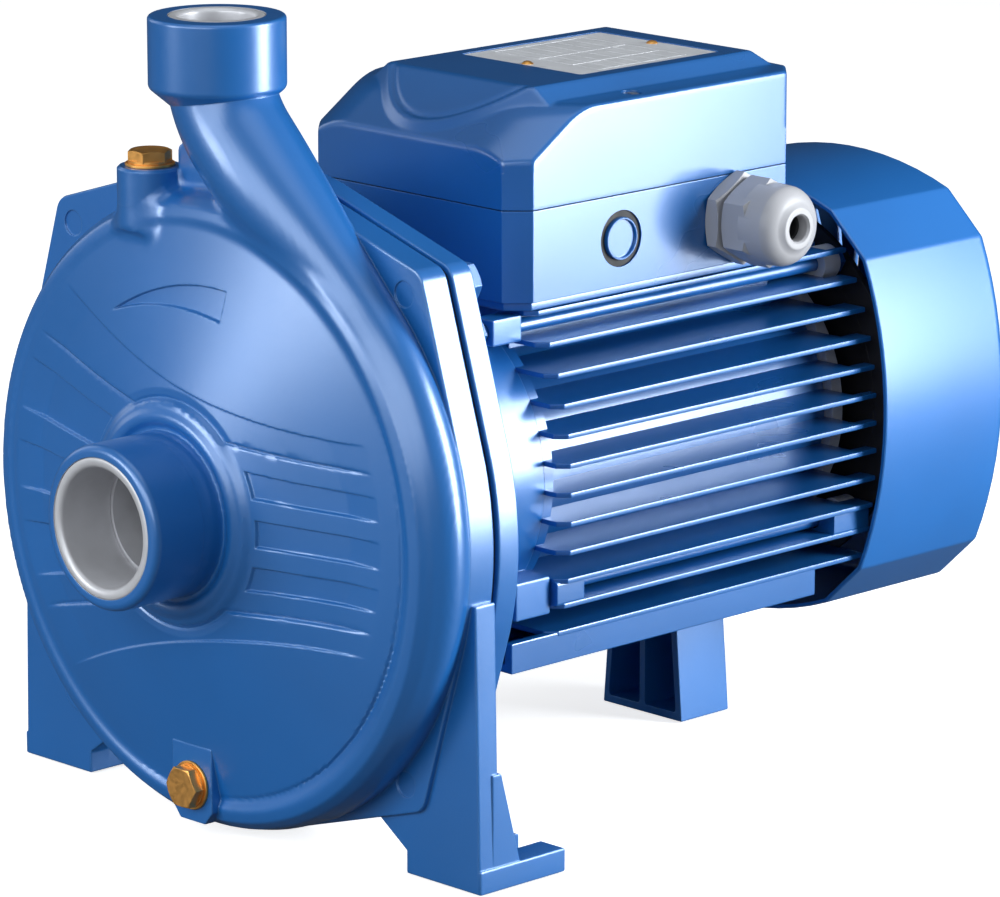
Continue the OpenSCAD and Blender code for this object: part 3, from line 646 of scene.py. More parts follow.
def passage(wall):
    """The volute's outlet: down from the port, round an elbow, straight to the rim, then along it.

    The straight run touches a circle about the bead's centre at 45 degrees. The passage narrows on
    its way, its outer edge keeping to the line. A wall above 0 gives the hollow inside.
    """
    root = math.sqrt(0.5)
    sx, sz = ELBOW_R * (1 - root), ELBOW_Z - ELBOW_R * root
    run = ((BEAD_X - sx) - (BEAD_Z - sz)) * root
    reach = ((sx - BEAD_X) + (sz - BEAD_Z)) * root
    end_angle, end_radius, run_radius = -62.0, 6.0, 9.0
    end_shift = RIM_R - end_radius - reach

    def distance(x, y, z):
        along = ((x - sx) - (z - sz)) * root
        off_line = ((x - sx) + (z - sz)) * root
        off_arc = np.hypot(x - ELBOW_R, z - ELBOW_Z) - ELBOW_R
        off = np.where(along > 0, off_line, -off_arc)
        off = np.where(z > ELBOW_Z, x + 0 * z, off)
        radius = NECK_R - (NECK_R - run_radius) * eased((along - 5) / (run - 5))
        shift = NECK_R - radius
        rho = np.hypot(x - BEAD_X, z - BEAD_Z)
        angle = np.degrees(np.arctan2(z - BEAD_Z, x - BEAD_X))
        t = eased((45 - angle) / (45 - end_angle))
        on_rim = along > run
        radius = np.where(on_rim, run_radius + (end_radius - run_radius) * t, radius)
        shift = np.where(on_rim, shift + (end_shift - shift) * t, shift)
        off = np.where(on_rim, rho - reach, off)
        tube = np.hypot(off - shift, y - OUTLET_Y) - (radius - wall)
        past = np.where(on_rim, np.radians(end_angle - angle) * rho, -9)
        return both(tube * 0.95, np.maximum(past, z - (CASING_TOP - 4)))
    return distance


def soft_casing():
    """The flowing part of the casing: face, rim, outlet neck, priming boss and web."""
    low, high = node_box("pump_casing")
    cast = Cast(low, high, CASTING_STEP)
    wide = (low, high)
    face = [(-5, 31), (28.6, 28.4), (30.4, 26.7), (32.4, 26.6), (FACE_R0, FACE_Y0), (FACE_R1, FACE_Y1),
            (FACE_R1, 66), (-5, 66)]
    cast.add(lathe(1, face), *wide)
    bead = [(88, 46), (92, 42.5), (97.5, 40), (101.5, 41), (104.2, 44.5), (RIM_R, 50), (RIM_R, 62), (88, 62)]
    cast.add(lathe(1, bead, (BEAD_X, BEAD_Z), 0.8), *wide, 1.0)
    cast.add(passage(0.0), (-30, 25, -110), (115, 75, 160), 2.5)
    cast.add(rod(2, PRIME_R, 88, PRIME_TOP - 1.5, (PRIME_X, PRIME_Y), 0.6), (-42, 32, 70), (-12, 60, 108), 5)
    web = [(-18, 88), (-18, 115), (-13, 119), (2, 128), (8, 88)]
    cast.add(prism(1, web, 50, 58, 0.8), (-22, 48, 84), (12, 60, 130), 2)
    cast.add(rod(1, NOZZLE_R - 0.05, 6, 45), (-30, 3, -30), (30, 45, 30), 1.0)

    chamber = [(-5, 33.5), (26.4, 33.5), (26.4, 38), (86, 47.5), (90, 50), (90, 67), (96.6, 67),
               (96.6, 75), (-5, 75)]
    cast.cut(lathe(1, chamber), (-98, 30, -98), (98, 72, 98))
    channel = [(80, 48), (92, 48), (97.5, 52), (97.5, 59), (94, 63), (80, 63)]
    cast.cut(lathe(1, channel, (2, -1.5)), (-102, 44, -102), (104, 70, 102), 1)
    cast.cut(passage(NECK_WALL), (-30, 25, 40), (105, 75, 165))
    flat = rect(-60, 105, -60, 112)
    cast.cut(prism(1, flat, CASING_BACK, 90), (-60, CASING_BACK, -60), (105, 80, 112))
    return cast.mesh()


def leg(side):
    """A front leg with its pad and the two ribs between them."""
    outer = FOOT_X - 0.6
    outline = [(62, -92), (78, -103), (78, FLOOR_Z), (outer, FLOOR_Z), (110, -16), (76, -16)]
    parts = [draw_out(1, outline, 60, CASING_BACK - 0.02, 0.8)]
    pad = draw_out(2, rect(78.02, FOOT_X, 60.02, 98), FLOOR_Z + 0.02, FLOOR_Z + 8, 0.7)
    for x0, x1, top in ((SLOT_X + SLOT_R + 1, outer, -72), (78, SLOT_X - SLOT_R - 1, -93)):
        rib = [(66, top), (69.9, top), (78.5, FLOOR_Z + 7), (66, FLOOR_Z + 7)]
        parts.append(draw_out(0, rib, x0 + 0.03, x1 - 0.03, 0.5))
    slot = shifted(arc(0, 0, SLOT_R, 180, 360, 12) + [(SLOT_R, 20), (-SLOT_R, 20)], SLOT_X, SLOT_Y)
    whole = carved(combine(pad, parts), [draw_out(2, slot, FLOOR_Z - 3, FLOOR_Z + 12)])
    return whole if side > 0 else mirrored(whole)


def collar():
    """The discharge port's collar, turned, with a bevel down to the neck."""
    edge = arc(COLLAR_R - 1.2, CASING_TOP - 1.2, 1.2, 0, 90, 4)
    foot = arc(COLLAR_R - 2.5, COLLAR_FOOT_Z + 6.5, 2.5, 0, -48, 5)
    profile = [(0, COLLAR_FOOT_Z - 1), (NECK_R - 2.5, COLLAR_FOOT_Z - 1), (NECK_R + 0.1, COLLAR_FOOT_Z + 1.2)]
    return turn(2, profile + foot[::-1] + edge + [(0, CASING_TOP)], (0, OUTLET_Y), 128)


def drain_block():
    outline = [(-9.7, -79.2), (9.7, -79.2), (9.7, -101), (6, -105.5), (-6, -105.5), (-9.7, -101)]
    return draw_out(1, outline, DRAIN_FACE_Y, 56, 0.6)


def crisp_casing():
    """The machined and sharp-edged part: flange, legs, port rims and bosses."""
    nozzle_rim = arc(NOZZLE_R - NOZZLE_ROUND, NOZZLE_ROUND, NOZZLE_ROUND, -90, 0, 6)
    nozzle = [(0, 0)] + nozzle_rim + [(NOZZLE_R, 20), (0, 20)]
    prime = [(0, 96), (PRIME_R + 0.05, 96), (PRIME_R + 0.05, PRIME_TOP - 0.8), (PRIME_R - 0.75, PRIME_TOP),
             (0, PRIME_TOP)]
    return [draw_out(1, flange_outline(), FLANGE_FRONT, CASING_BACK, 0.8), leg(1), leg(-1), collar(),
            turn(1, nozzle, steps=128), turn(2, prime, (PRIME_X, PRIME_Y), 64), drain_block()]


def casing_cuts():
    seat = [(0, -3), (PORT_SEAT_R, -3), (PORT_SEAT_R, PORT_LENGTH), (PORT_BORE_R - 1, PORT_LENGTH),
            (PORT_BORE_R - 1, 36), (0, 36)]
    outlet_seat_z = CASING_TOP - PORT_LENGTH
    outlet = [(0, outlet_seat_z), (OUTLET_SEAT_R, outlet_seat_z), (OUTLET_SEAT_R, CASING_TOP + 3),
              (0, CASING_TOP + 3)]
    cuts = [turn(1, seat, steps=128), turn(2, outlet, (0, OUTLET_Y)),
            bar(2, PLUG_HOLE_R, 84, 120, (PRIME_X, PRIME_Y)), bar(1, PLUG_HOLE_R, 30, 52, (0, DRAIN_Z)),
            bar(1, 96.6, 67, 75, steps=128)]
    for spot in BOLTS:
        cuts.append(bar(1, 4.3, FLANGE_FRONT - 0.6, FLANGE_FRONT + 0.6, spot))
        cuts.append(bar(1, 4.1, 61, 80, spot))
    return cuts


# Relief on the casing's face: bands that open out from the right, mirrored in height.
# Each line is z = start + bend * (x - RELIEF_X)^2, and the recesses fade out towards the rim.
RELIEF_X, RELIEF_R = 72.0, 89.0
STEP_DEPTH, SLOT_DEPTH, EDGE_SOFT = 0.7, 1.2, 0.5
PANEL_LINE = (34.3, 0.00172)
BAND_LINE = (25.9, 0.00099)
SLOT_LINES = [((10.9, 0.00035), (18.4, 0.00082)), ((-4.6, 0.00015), (4.2, 0.00015))]
BAND_R = 38.0


def line_height(line, x):
    start, bend = line
    return start + math.copysign(1, start) * bend * (x - RELIEF_X) ** 2


def step_at(distance, soft):
    """0 outside to 1 inside, across a soft edge."""
    return eased(0.5 - distance / soft)


def relief(x, z):
    """Distance to the nearest relief edge, and the depth of the face there."""
    r = np.hypot(x, z)
    up = np.abs(z)
    fade = np.clip((RELIEF_R - r) / 14, 0, 1) * step_at(BAND_R - 0.9 - r, 1.8)
    panel = up - line_height(PANEL_LINE, x)
    band = np.minimum(up - line_height(BAND_LINE, x), (r - BAND_R) * 0.3)
    depth = STEP_DEPTH * step_at(panel, EDGE_SOFT) + STEP_DEPTH * step_at(band, EDGE_SOFT)
    near = np.minimum(np.abs(panel), np.abs(band))
    depth = depth + STEP_DEPTH * np.clip(1 - np.abs(band) / 0.9, 0, 1)
    for low, high in SLOT_LINES:
        below = line_height(low, x) if low[0] > 0 else -line_height(high, x)
        slot = np.maximum(np.maximum(below - up, up - line_height(high, x)), BAND_R + 2 - r)
        depth = depth + SLOT_DEPTH * step_at(slot, EDGE_SOFT)
        near = np.minimum(near, np.abs(slot))
    fin = fin_mark(x, z)
    depth = depth * fade + SLOT_DEPTH * step_at(fin, EDGE_SOFT)
    return np.minimum(near, np.abs(fin)), depth


def fin_mark(x, z):
    """A small fin-shaped recess above the nozzle."""
    top = 75.0 - 0.0066 * (x - 12) ** 2
    bottom = 66.8 - 0.0052 * (x + 1) ** 2
    end = x - (19.0 + 0.1 * (z - 69))
    return np.maximum(np.maximum(z - top, bottom - z), end)


def on_face(co):
    """True for points on the casing's flat-coned face, where the relief may lie."""
    r = np.hypot(co[:, 0], co[:, 2])
    cone = FACE_Y0 + (r - FACE_R0) * (FACE_Y1 - FACE_Y0) / (FACE_R1 - FACE_R0)
    return (np.abs(co[:, 1] - cone) < 0.2) & (r > BAND_R - 2) & (r < RELIEF_R)


def engrave(mesh):
    """Refines the face near the relief's lines, then presses the relief into it."""
    bm = bmesh.new()
    bm.from_mesh(mesh)
    co = np.array([v.co for v in bm.verts])
    near, _ = relief(co[:, 0], co[:, 2])
    pick = on_face(co) & (near < 1.6)
    edges = [e for e in bm.edges if pick[e.verts[0].index] and pick[e.verts[1].index]]
    bmesh.ops.subdivide_edges(bm, edges=edges, cuts=2, use_grid_fill=True)
    co = np.array([v.co for v in bm.verts])
    _, depth = relief(co[:, 0], co[:, 2])
    move = np.where(on_face(co), depth, 0)
    for v, d in zip(bm.verts, move.tolist()):
        if d:
            v.co.y += d
    return solid(bm)


def casing():
    whole = combine(engrave(soft_casing()), crisp_casing())
    return carved(whole, casing_cuts())


def bare_inside(x, y, z):
    """Faces of the casing's machined port bores."""
    suction = (np.hypot(x, z) < PORT_SEAT_R + 0.5) & (y > 0.2) & (y < 60)
    off = np.hypot(x, y - OUTLET_Y)
    seat = (off < OUTLET_SEAT_R + 0.5) & (z > CASING_TOP - PORT_LENGTH - 0.3)
    throat = (off < 12.4) & (z > 133)
    return suction | ((seat | throat) & (z < CASING_TOP - 0.2))


second_finish(piece("casing", casing(), "pump", "cast_blue", "pump_casing", angle=32),
              "port_metal", bare_inside)


def port_ring(axis, bore, seat, low, high, centre, mouth):
    """A port insert with a bevelled mouth at its low or high end."""
    start, end = (1.3, 0.4) if mouth == "low" else (0.4, 1.3)
    profile = [(seat - 0.02, low + 0.5), (seat - 0.5, low), (bore + start, low), (bore, low + start),
               (bore, high - end), (bore + end, high), (seat - 0.5, high), (seat - 0.02, high - 0.5)]
    return turn(axis, profile, centre)


SUCTION = (1, PORT_BORE_R, PORT_SEAT_R, 0.0, PORT_LENGTH, (0, 0), "low")
DISCHARGE = (2, OUTLET_BORE_R, OUTLET_SEAT_R, CASING_TOP - PORT_LENGTH, CASING_TOP, (0, OUTLET_Y), "high")
for port, sizes in (("suction", SUCTION), ("discharge", DISCHARGE)):
    piece(port + "_ring", port_ring(*sizes), "pump", "port_metal", port + "_port_insert", angle=50)


def plug_form():
    """Hexagon plug with a collar under its head and a thread, pointing up from z = 0."""
    head = chamfered_hex(2, 7.35, 1.6, 5.2)
    thread = [(0, -9), (5.6, -9)]
    z = -8.6
    while z < -0.9:
        thread += [(6.45, z), (6.0, z + 0.65)]
        z += 1.3
    shank = thread + [(6.0, 0.2), (6.5, 0.2), (6.5, 1.0), (7.2, 1.02), (7.2, 1.9), (0, 1.9)]
    return combine(head, [turn(2, shank, steps=48)])


def washer_form():
    profile = [(6.6, 0.02), (8.0, 0.02), (8.2, 0.2), (8.2, 0.8), (8.0, 1.0), (6.6, 1.0)]
    return turn(2, profile, steps=48)


UP_AT_PRIMING = Matrix.Translation((PRIME_X, PRIME_Y, PRIME_TOP))
OUT_AT_DRAIN = Matrix.Translation((0, DRAIN_FACE_Y, DRAIN_Z)) @ Matrix.Rotation(math.radians(90), 4, "X")
for spot, turned in (("priming", UP_AT_PRIMING), ("drain", OUT_AT_DRAIN)):
    piece(spot + "_screw_plug", moved(plug_form(), turned), spot + "_screw", "brass", spot + "_plug")
    piece(spot + "_seal_ring", moved(washer_form(), turned), spot + "_seal", "brass", spot + "_plug_washer")


# ---------- motor bracket ----------

def bracket():
    fillet = arc(BARREL_R + 8, BRACKET_FLANGE_BACK + 8, 8, 270, 180, 8)
    barrel = [(46, BRACKET_FRONT + 0.5), (BARREL_R + 8, BRACKET_FRONT + 0.5)] + fillet
    barrel += [(BARREL_R, HOUSING_Y), (44.9, HOUSING_Y), (44.9, 147), (41, 147), (41, 138), (52, 134),
               (52, 116), (26, 112), (26, 123), (9.6, 123), (9.6, 103), (30, 103), (46, 106)]
    parts = [turn(1, barrel, steps=128)]
    for x0, x1, z0, z1, y0 in ((37.5, 46.5, 46.5, 55.5, 129.5), (44, 60, -43.5, -30.5, 127)):
        lug = draw_out(1, rect(x0, x1, z0, z1), y0, HOUSING_Y - 0.02, 0.8)
        parts += [lug, mirrored(lug)]
    whole = combine(draw_out(1, flange_outline(), BRACKET_FRONT, BRACKET_FLANGE_BACK, 0.8), parts)
    cuts = [bar(1, 50, 60, 103.5, steps=96), bar(1, 20, 107.5, 125), bar(1, 9.6, 100, 110),
            draw_out(2, rect(-16, 16, 88, 100), -75, -45, 1.0)]
    for side in (-1, 1):
        cuts += [bar(1, 2.7, 115, 150, (side * x, z), 24) for x, z in RODS]
        cuts += [bar(1, 4.5, 60, 90, (side * BOLT_AT, z), 32) for z in (-BOLT_AT, BOLT_AT)]
    return carved(whole, cuts)


piece("bracket", bracket(), "pump", "cast_blue", "motor_bracket", angle=32)


def corner_bolts():
    """Hexagon heads and shanks that hold the bracket to the casing."""
    solids = []
    for spot in BOLTS:
        head = chamfered_hex(1, 7.5, BRACKET_FLANGE_BACK, BRACKET_FLANGE_BACK + 5.5, spot)
        solids.append(combine(head, [bar(1, 4, 61.5, BRACKET_FLANGE_BACK + 1, spot, 32)]))
    return joined(solids)


piece("corner_bolts", corner_bolts(), "pump", "cast_blue", "casing_bolts")


# ---------- motor housing ----------

def fin_tip(z):
    """Half width of a fin at a height above the shaft."""
    return 66 - 15.5 * (abs(z + 8) / 64) ** 2.5


def fin(z):
    x, cut = fin_tip(z), 3.5
    outline = [(-x, FIN_END), (x, FIN_END), (x, HOUSING_Y + cut), (x - cut, HOUSING_Y),
               (cut - x, HOUSING_Y), (-x, HOUSING_Y + cut)]
    return draw_out(2, outline, z - 0.9, z + 0.9, 0.4)


def skirt():
    """The housing's lower tray, with an upturned edge on each side."""
    edge = 3.5
    outline = [(-SKIRT_X, SKIRT_Z), (SKIRT_X, SKIRT_Z), (SKIRT_X, -50.5), (SKIRT_X - edge, -50.5),
               (SKIRT_X - edge, -58), (edge - SKIRT_X, -58), (edge - SKIRT_X, -50.5), (-SKIRT_X, -50.5)]
    return draw_out(1, outline, SKIRT_Y0, SKIRT_Y1, 0.6)


def housing():
    barrel = [(HOUSING_BORE, HOUSING_Y + 0.05), (BARREL_R, HOUSING_Y + 0.05), (BARREL_R, HOUSING_Y + 4),
              (HOUSING_R, HOUSING_Y + 6.5), (HOUSING_R, SHIELD_Y), (HOUSING_BORE, SHIELD_Y)]
    solids = [fin(z) for z in FIN_HEIGHTS]
    solids += [draw_out(1, rect(-38, 38, 42, 59.97), 145, 270, 0.6),
               draw_out(2, rounded(box_plan(1.2), 0.8), 57.2, BASE_LOW[2] - 0.02, 0.5)]
    for y0, y1 in ((HOUSING_Y + 0.1, HOUSING_Y + 13), (278, FIN_END - 0.1)):
        block = draw_out(1, rounded(rect(48, 63, -40.9, -32.2), 1.5), y0, y1, 0.6)
        solids += [block, mirrored(block)]
    solids += [skirt(), draw_out(1, rect(-20, 20, -60.5, -47), 246, SKIRT_Y1 - 0.5, 0.6)]
    cuts = [turn(1, [(0, SHIELD_Y - 1.4), (62.4, SHIELD_Y - 0.4), (62.4, 300), (0, 300)]),
            bar(1, HOUSING_BORE - 0.02, 140, 290, steps=128), bar(2, 9, 30, 65, CABLE_HOLE)]
    for side in (-1, 1):
        cuts += [bar(1, 3, 140, 300, (side * x, z), 32) for x, z in RODS]
        cuts.append(draw_out(1, rect(*sorted((side * 35.6, side * 48.4)), 36, 57.9), SHIELD_Y - 0.4, 300))
    return carved(combine(turn(1, barrel, steps=128), solids), cuts)


def box_plan(inset=0.0):
    """Plan of the terminal box: a rectangle with cut corners, shrunk by an inset."""
    x, y0, y1 = BOX_HALF_W - inset, BOX_Y0 + inset, BOX_Y1 - inset
    c = BOX_CUT - inset * 0.6
    return [(x - c, y0), (x, y0 + c), (x, y1 - c), (x - c, y1),
            (c - x, y1), (-x, y1 - c), (-x, y0 + c), (c - x, y0)]


piece("motor_housing_shell", housing(), "pump", "alu_blue", "motor_housing", angle=28)


def rear_bell():
    """Rear end shield: bearing seat, spigot, rim, lugs for the tie rods and for the cover."""
    profile = [(7.5, 283.3), (16, 283.3), (16, 271.1), (21, 271.1), (21, 284), (41, SHIELD_Y), (41, 284.1),
               (44.8, 284.1), (44.8, SHIELD_Y), (52.5, SHIELD_Y + 0.02), (52.5, 292.9), (7.5, 292.9)]
    rods = [(side * x, z) for side in (-1, 1) for x, z in RODS]
    lugs = [bar(1, 6, SHIELD_Y + 0.05, 295.9, spot, 32) for spot in rods]
    for z0, z1 in ((-77.1, -49), (49, 77.1)):
        lugs.append(draw_out(1, rect(-6, 6, z0, z1), SHIELD_Y + 0.1, 301.9, 0.5))
    cuts = [bar(1, 2.7, 280, 300, spot, 24) for spot in rods]
    cuts += [bar(2, 1.8, z, z + 18, (0, COVER_SCREW_Y), 24) for z in (-80, 62)]
    return carved(combine(turn(1, profile), lugs), cuts)


piece("rear_bell", rear_bell(), "pump", "bare_alu", "rear_shield", angle=30)


def foot():
    """Rear foot: a channel open to the front, with a middle rib."""
    wall, top = 2.8, SKIRT_Z
    body = draw_out(1, [(-19.3, FLOOR_Z), (19.3, FLOOR_Z), (15.3, top), (-15.3, top)], 248, 272, 0.6)
    cuts = []
    for side in (-1, 1):
        half = [(1.2, FLOOR_Z + 3), (19.3 - wall, FLOOR_Z + 3), (15.5 - wall, top - 3), (1.2, top - 3)]
        hollow = draw_out(1, rounded([(side * u, v) for u, v in half], 1.2), 240, 269)
        cuts += [hollow, bar(2, 2.6, top - 5, top + 3, (side * 8, 261), 24)]
    return carved(body, cuts)


piece("foot_channel", foot(), "pump", "sheet_blue", "rear_foot", angle=28)


# ---------- fan cover ----------

def cover_outline(inset=0.0):
    """Cover section: bowed sides, top and bottom joined by four flats, its corners eased."""
    ax, az, bx, bz, half_w, half_h = 63, 55, 47, 70, 74, 79
    s1, s2 = half_w - ax, half_h - bz
    r1, r2 = (az * az + s1 * s1) / (2 * s1), (bx * bx + s2 * s2) / (2 * s2)
    h1, h2 = math.degrees(math.asin(az / r1)), math.degrees(math.asin(bx / r2))
    points = arc(half_w - r1, 0, r1, -h1, h1, 14)
    points += arc(0, half_h - r2, r2, 90 - h2, 90 + h2, 12)
    points += arc(r1 - half_w, 0, r1, 180 - h1, 180 + h1, 14)
    points += arc(0, r2 - half_h, r2, 270 - h2, 270 + h2, 12)
    points = rounded(points, 4.0, 3)
    out = []
    for k, (u, v) in enumerate(points):
        before, after = Vector(points[k - 1]), Vector(points[(k + 1) % len(points)])
        along = (after - before).normalized()
        out.append((u - along.y * inset, v + along.x * inset))
    return out


def loft(sections):
    """A closed skin through outlines of equal length at stations along Y."""
    bm = bmesh.new()
    rings = [[bm.verts.new((u, y, v)) for u, v in outline] for y, outline in sections]
    for first, second in zip(rings, rings[1:]):
        skin(bm, first, second)
    bm.faces.new(rings[0])
    bm.faces.new(rings[-1])
    return solid(bm)


def cover_shell():
    """The cover's wall and back, without its grille."""
    edge, wall, back = 4.0, 1.5, 2.4
    outer = [(COVER_Y, cover_outline(0.3)), (COVER_Y + 0.5, cover_outline(0))]
    inner = [(COVER_Y - 5, cover_outline(wall))]
    for k in range(7):
        a = math.radians(15 * k)
        fall = 1 - math.cos(a)
        outer.append((COVER_BACK - edge * (1 - math.sin(a)), cover_outline(edge * fall)))
        inner.append((COVER_BACK - back - 2.5 * (1 - math.sin(a)), cover_outline(wall + 2.5 * fall)))
    return loft(outer), loft(inner)


def grille_slots():
    """Two rings of round-ended slots."""
    half, slots = 1.1, []
    for r0, r1, count in ((16, 30, 16), (34, 56, 32)):
        for k in range(count):
            turned = Matrix.Rotation(2 * math.pi * (k + 0.5) / count, 4, "Y")
            outline = arc(r1 - half, 0, half, -90, 90, 6) + arc(r0 + half, 0, half, 90, 270, 6)
            slots.append(moved(draw_out(1, outline, COVER_BACK - 5, COVER_BACK + 3), turned))
    return joined(slots)


def fan_cover():
    outer, inner = cover_shell()
    holes = [bar(2, 2.0, z, z + 20, (0, COVER_SCREW_Y), 24) for z in (68, -88)]
    return carved(outer, [inner, grille_slots()] + holes)


piece("fan_cowl", fan_cover(), "pump", "sheet_blue", "fan_cover", angle=24)


# The fan's back plate runs out to just inside the cover, as a dark sheet that puts painted shade in the gap
# and keeps light from showing through the grille.
FAN_PLATE_SHADE_RIM = rect(57.02, 67, 304.1, 306.4)
piece("fan_plate_shade_rim", turn(1, FAN_PLATE_SHADE_RIM), "rotor", "black_plastic")


def cover_screws():
    """Domed cross-head screws at the cover's top and bottom."""
    solids = []
    for angle in (0, 180):
        dome = arc(0, 78.2, 4.4, 35, 90, 5)
        screw = turn(2, [(0, 66), (1.75, 66), (1.75, 78.8), (3.6, 78.8)] + dome[:-1] + [(0, 82.6)], steps=32)
        cross = [draw_out(2, rect(-a, a, -b, b), 81.4, 84) for a, b in ((1.9, 0.4), (0.4, 1.9))]
        screw = carved(screw, cross)
        spin = Matrix.Translation((0, COVER_SCREW_Y, 0)) @ Matrix.Rotation(math.radians(angle), 4, "Y")
        solids.append(moved(screw, spin))
    return joined(solids)


piece("cowl_screws", cover_screws(), "pump", "steel", "fan_cover_screws")


# ---------- terminal box ----------

def terminal_base():
    body = draw_out(2, rounded(box_plan(), 0.8), BASE_LOW[2], BASE_HIGH[2], 0.3)
    cuts = [draw_out(2, box_plan(BOX_WALL), BASE_LOW[2] + 3, BASE_HIGH[2] + 5),
            bar(0, 10.05, 44, 60, GLAND_AT), bar(0, BLANK_R, 44, 60, BLANK_AT, 64),
            bar(2, 9, 50, 70, CABLE_HOLE)]
    base = carved(body, cuts)
    posts = [bar(2, 4.4, 62, BASE_HIGH[2], spot, 32) for spot in LID_SCREWS]
    return combine(base, posts)


piece("terminal_base", terminal_base(), "pump", "alu_blue", "terminal_box_base", angle=28)


def joint_seal():
    """The gasket between base and lid, set back from the outside."""
    ring = draw_out(2, box_plan(0.9), BASE_HIGH[2] + 0.01, LID_LOW[2] - 0.01)
    return carved(ring, [draw_out(2, box_plan(BOX_WALL), BASE_HIGH[2] - 2, LID_LOW[2] + 2)])


piece("joint_seal", joint_seal(), "pump", "black_rubber", "terminal_box_gasket")


def lid_top(x, y, inset):
    """Height of the lid's outer surface, lowered by an inset.

    The front falls away in a slope that drops at the corners; the sides have a rounded
    shoulder; and a raised panel comes down the slope in a rounded tongue.
    """
    ax = np.abs(x)
    slope = 110.4 + 0.66 * (y - BOX_Y0)
    drop = 7.9 * (np.maximum(ax - 30, 0) / 21.5) ** 2
    shoulder = 123.9 - 1.3 * (ax / BOX_HALF_W) ** 2 + 0 * y
    main = smooth_min(slope - drop, shoulder, 5)
    tongue_y = 137.0 + 0.0165 * x ** 2
    into_tongue = (y - tongue_y) / np.hypot(1, 0.033 * x)
    groove = 0.7 * np.exp(-((into_tongue - 4.6) / 0.9) ** 2)
    front = slope + np.minimum(1.0 * into_tongue, 2.0) - groove
    side = LID_HIGH[2] - np.maximum(ax - PANEL_HALF_W, 0) * 0.74
    rear = LID_HIGH[2] - np.maximum(y - 263.5, 0) * 1.1
    panel = smooth_min(smooth_min(side + 0 * y, front, 1.0), rear + 0 * x, 1)
    return smooth_max(main, panel, 0.4) - inset


def lid_form(inset):
    plan = prism(2, rounded(box_plan(inset), 0.8), 60, 160)
    floor_z = LID_LOW[2] - (5 if inset else 0)

    def distance(x, y, z):
        top = (z - lid_top(x, y, inset)) * 0.84
        return np.maximum(smooth_max(plan(x, y, z), top, 1.2), floor_z - z)
    return distance


def terminal_lid():
    cast = Cast(LID_LOW, LID_HIGH, LID_STEP)
    wide = (LID_LOW, LID_HIGH)
    cast.add(lid_form(0.0), *wide)
    cast.cut(lid_form(BOX_WALL), *wide)
    z0 = LID_LOW[2]
    edge = carved(draw_out(2, rounded(box_plan(), 0.8), z0 - 0.3, z0 + 12, 0.15),
                  [draw_out(2, box_plan(BOX_WALL + 0.1), z0 - 2, z0 + 14)])
    posts = [bar(2, 4.4, z0, 121, spot, 32) for spot in LID_SCREWS]
    seats = [bar(2, 3.5, 120.3, 130, spot, 32) for spot in LID_SCREWS]
    field = rounded(rect(-29, 29, PLATE_Y0 - 0.5, PLATE_Y1 + 0.5), 1.5)
    recess = draw_out(2, field, LID_HIGH[2] - 1.1, LID_HIGH[2] + 5)
    return carved(combine(cast.mesh(), [edge] + posts), seats + [recess])


piece("terminal_lid", terminal_lid(), "pump", "alu_blue", "terminal_box_lid", angle=32)


def lid_screw_heads():
    """Pan-head screws with a slot, down in the lid's side seats."""
    solids = []
    for spot in LID_SCREWS:
        head = [(0, 76), (1.55, 76), (1.55, 120.6), (3.1, 120.6), (3.1, 122.0), (2.5, 122.6), (0, 122.7)]
        slot = draw_out(2, shifted(rect(-3.4, 3.4, -0.4, 0.4), *spot), 121.8, 124)
        solids.append(carved(turn(2, head, spot, 32), [slot]))
    return joined(solids)


piece("lid_screw_heads", lid_screw_heads(), "pump", "steel", "lid_screws")


def plate():
    """Rating plate with an embossed border and blank ruled fields."""
    z0 = LID_HIGH[2] - 1.1
    outline = rounded(rect(-PLATE_HALF_W, PLATE_HALF_W, PLATE_Y0, PLATE_Y1), 1.5)
    body = draw_out(2, outline, z0 + 0.01, z0 + 0.6, 0.1)
    y0 = PLATE_Y0 + 12
    rows = [y0 + 7 * k for k in range(7)]
    rules = [draw_out(2, rect(-25, 25, y, y + 0.5), z0 + 0.42, z0 + 2) for y in rows]
    rules += [draw_out(2, rect(x, x + 0.5, y0, y0 + 42), z0 + 0.4, z0 + 2) for x in (-25, -4, 12, 24.5)]
    holes = [bar(2, 1.25, z0 - 2, z0 + 3, (0, y), 24) for y in RIVETS_Y]
    return carved(body, rules + holes)


piece("ruled_plate", plate(), "pump", "plate", "rating_plate")


def rivets():
    z0 = LID_HIGH[2] - 0.5
    dome = arc(0, z0 - 1.55, 2.6, 36, 90, 5)
    profile = [(0, z0 - 3.3), (1.2, z0 - 3.3), (1.2, z0)] + dome[:-1] + [(0, z0 + 1.05)]
    return joined([turn(2, profile, (0, y), 32) for y in RIVETS_Y])


piece("plate_rivet_heads", rivets(), "pump", "brass", "plate_rivets")


# ---------- cable gland and blank plug ----------

def from_side(profile, at, steps):
    """Turns a profile of (radius, height above the box's side)."""
    return turn(0, [(r, BOX_HALF_W + h) for r, h in profile], at, steps)


def gland_hex(r, low, high):
    return chamfered_hex(0, r, BOX_HALF_W + low, BOX_HALF_W + high, GLAND_AT, 90, (True, True))


def gland_body():
    neck = [(7.5, -7.5), (10, -7.5), (10, 3), (12, 3), (12, 13), (7.5, 13)]
    bored = carved(gland_hex(16, 0.02, 6), [bar(0, 7.6, BOX_HALF_W - 2, BOX_HALF_W + 9, GLAND_AT)])
    return combine(bored, [from_side(neck, GLAND_AT, 64)])


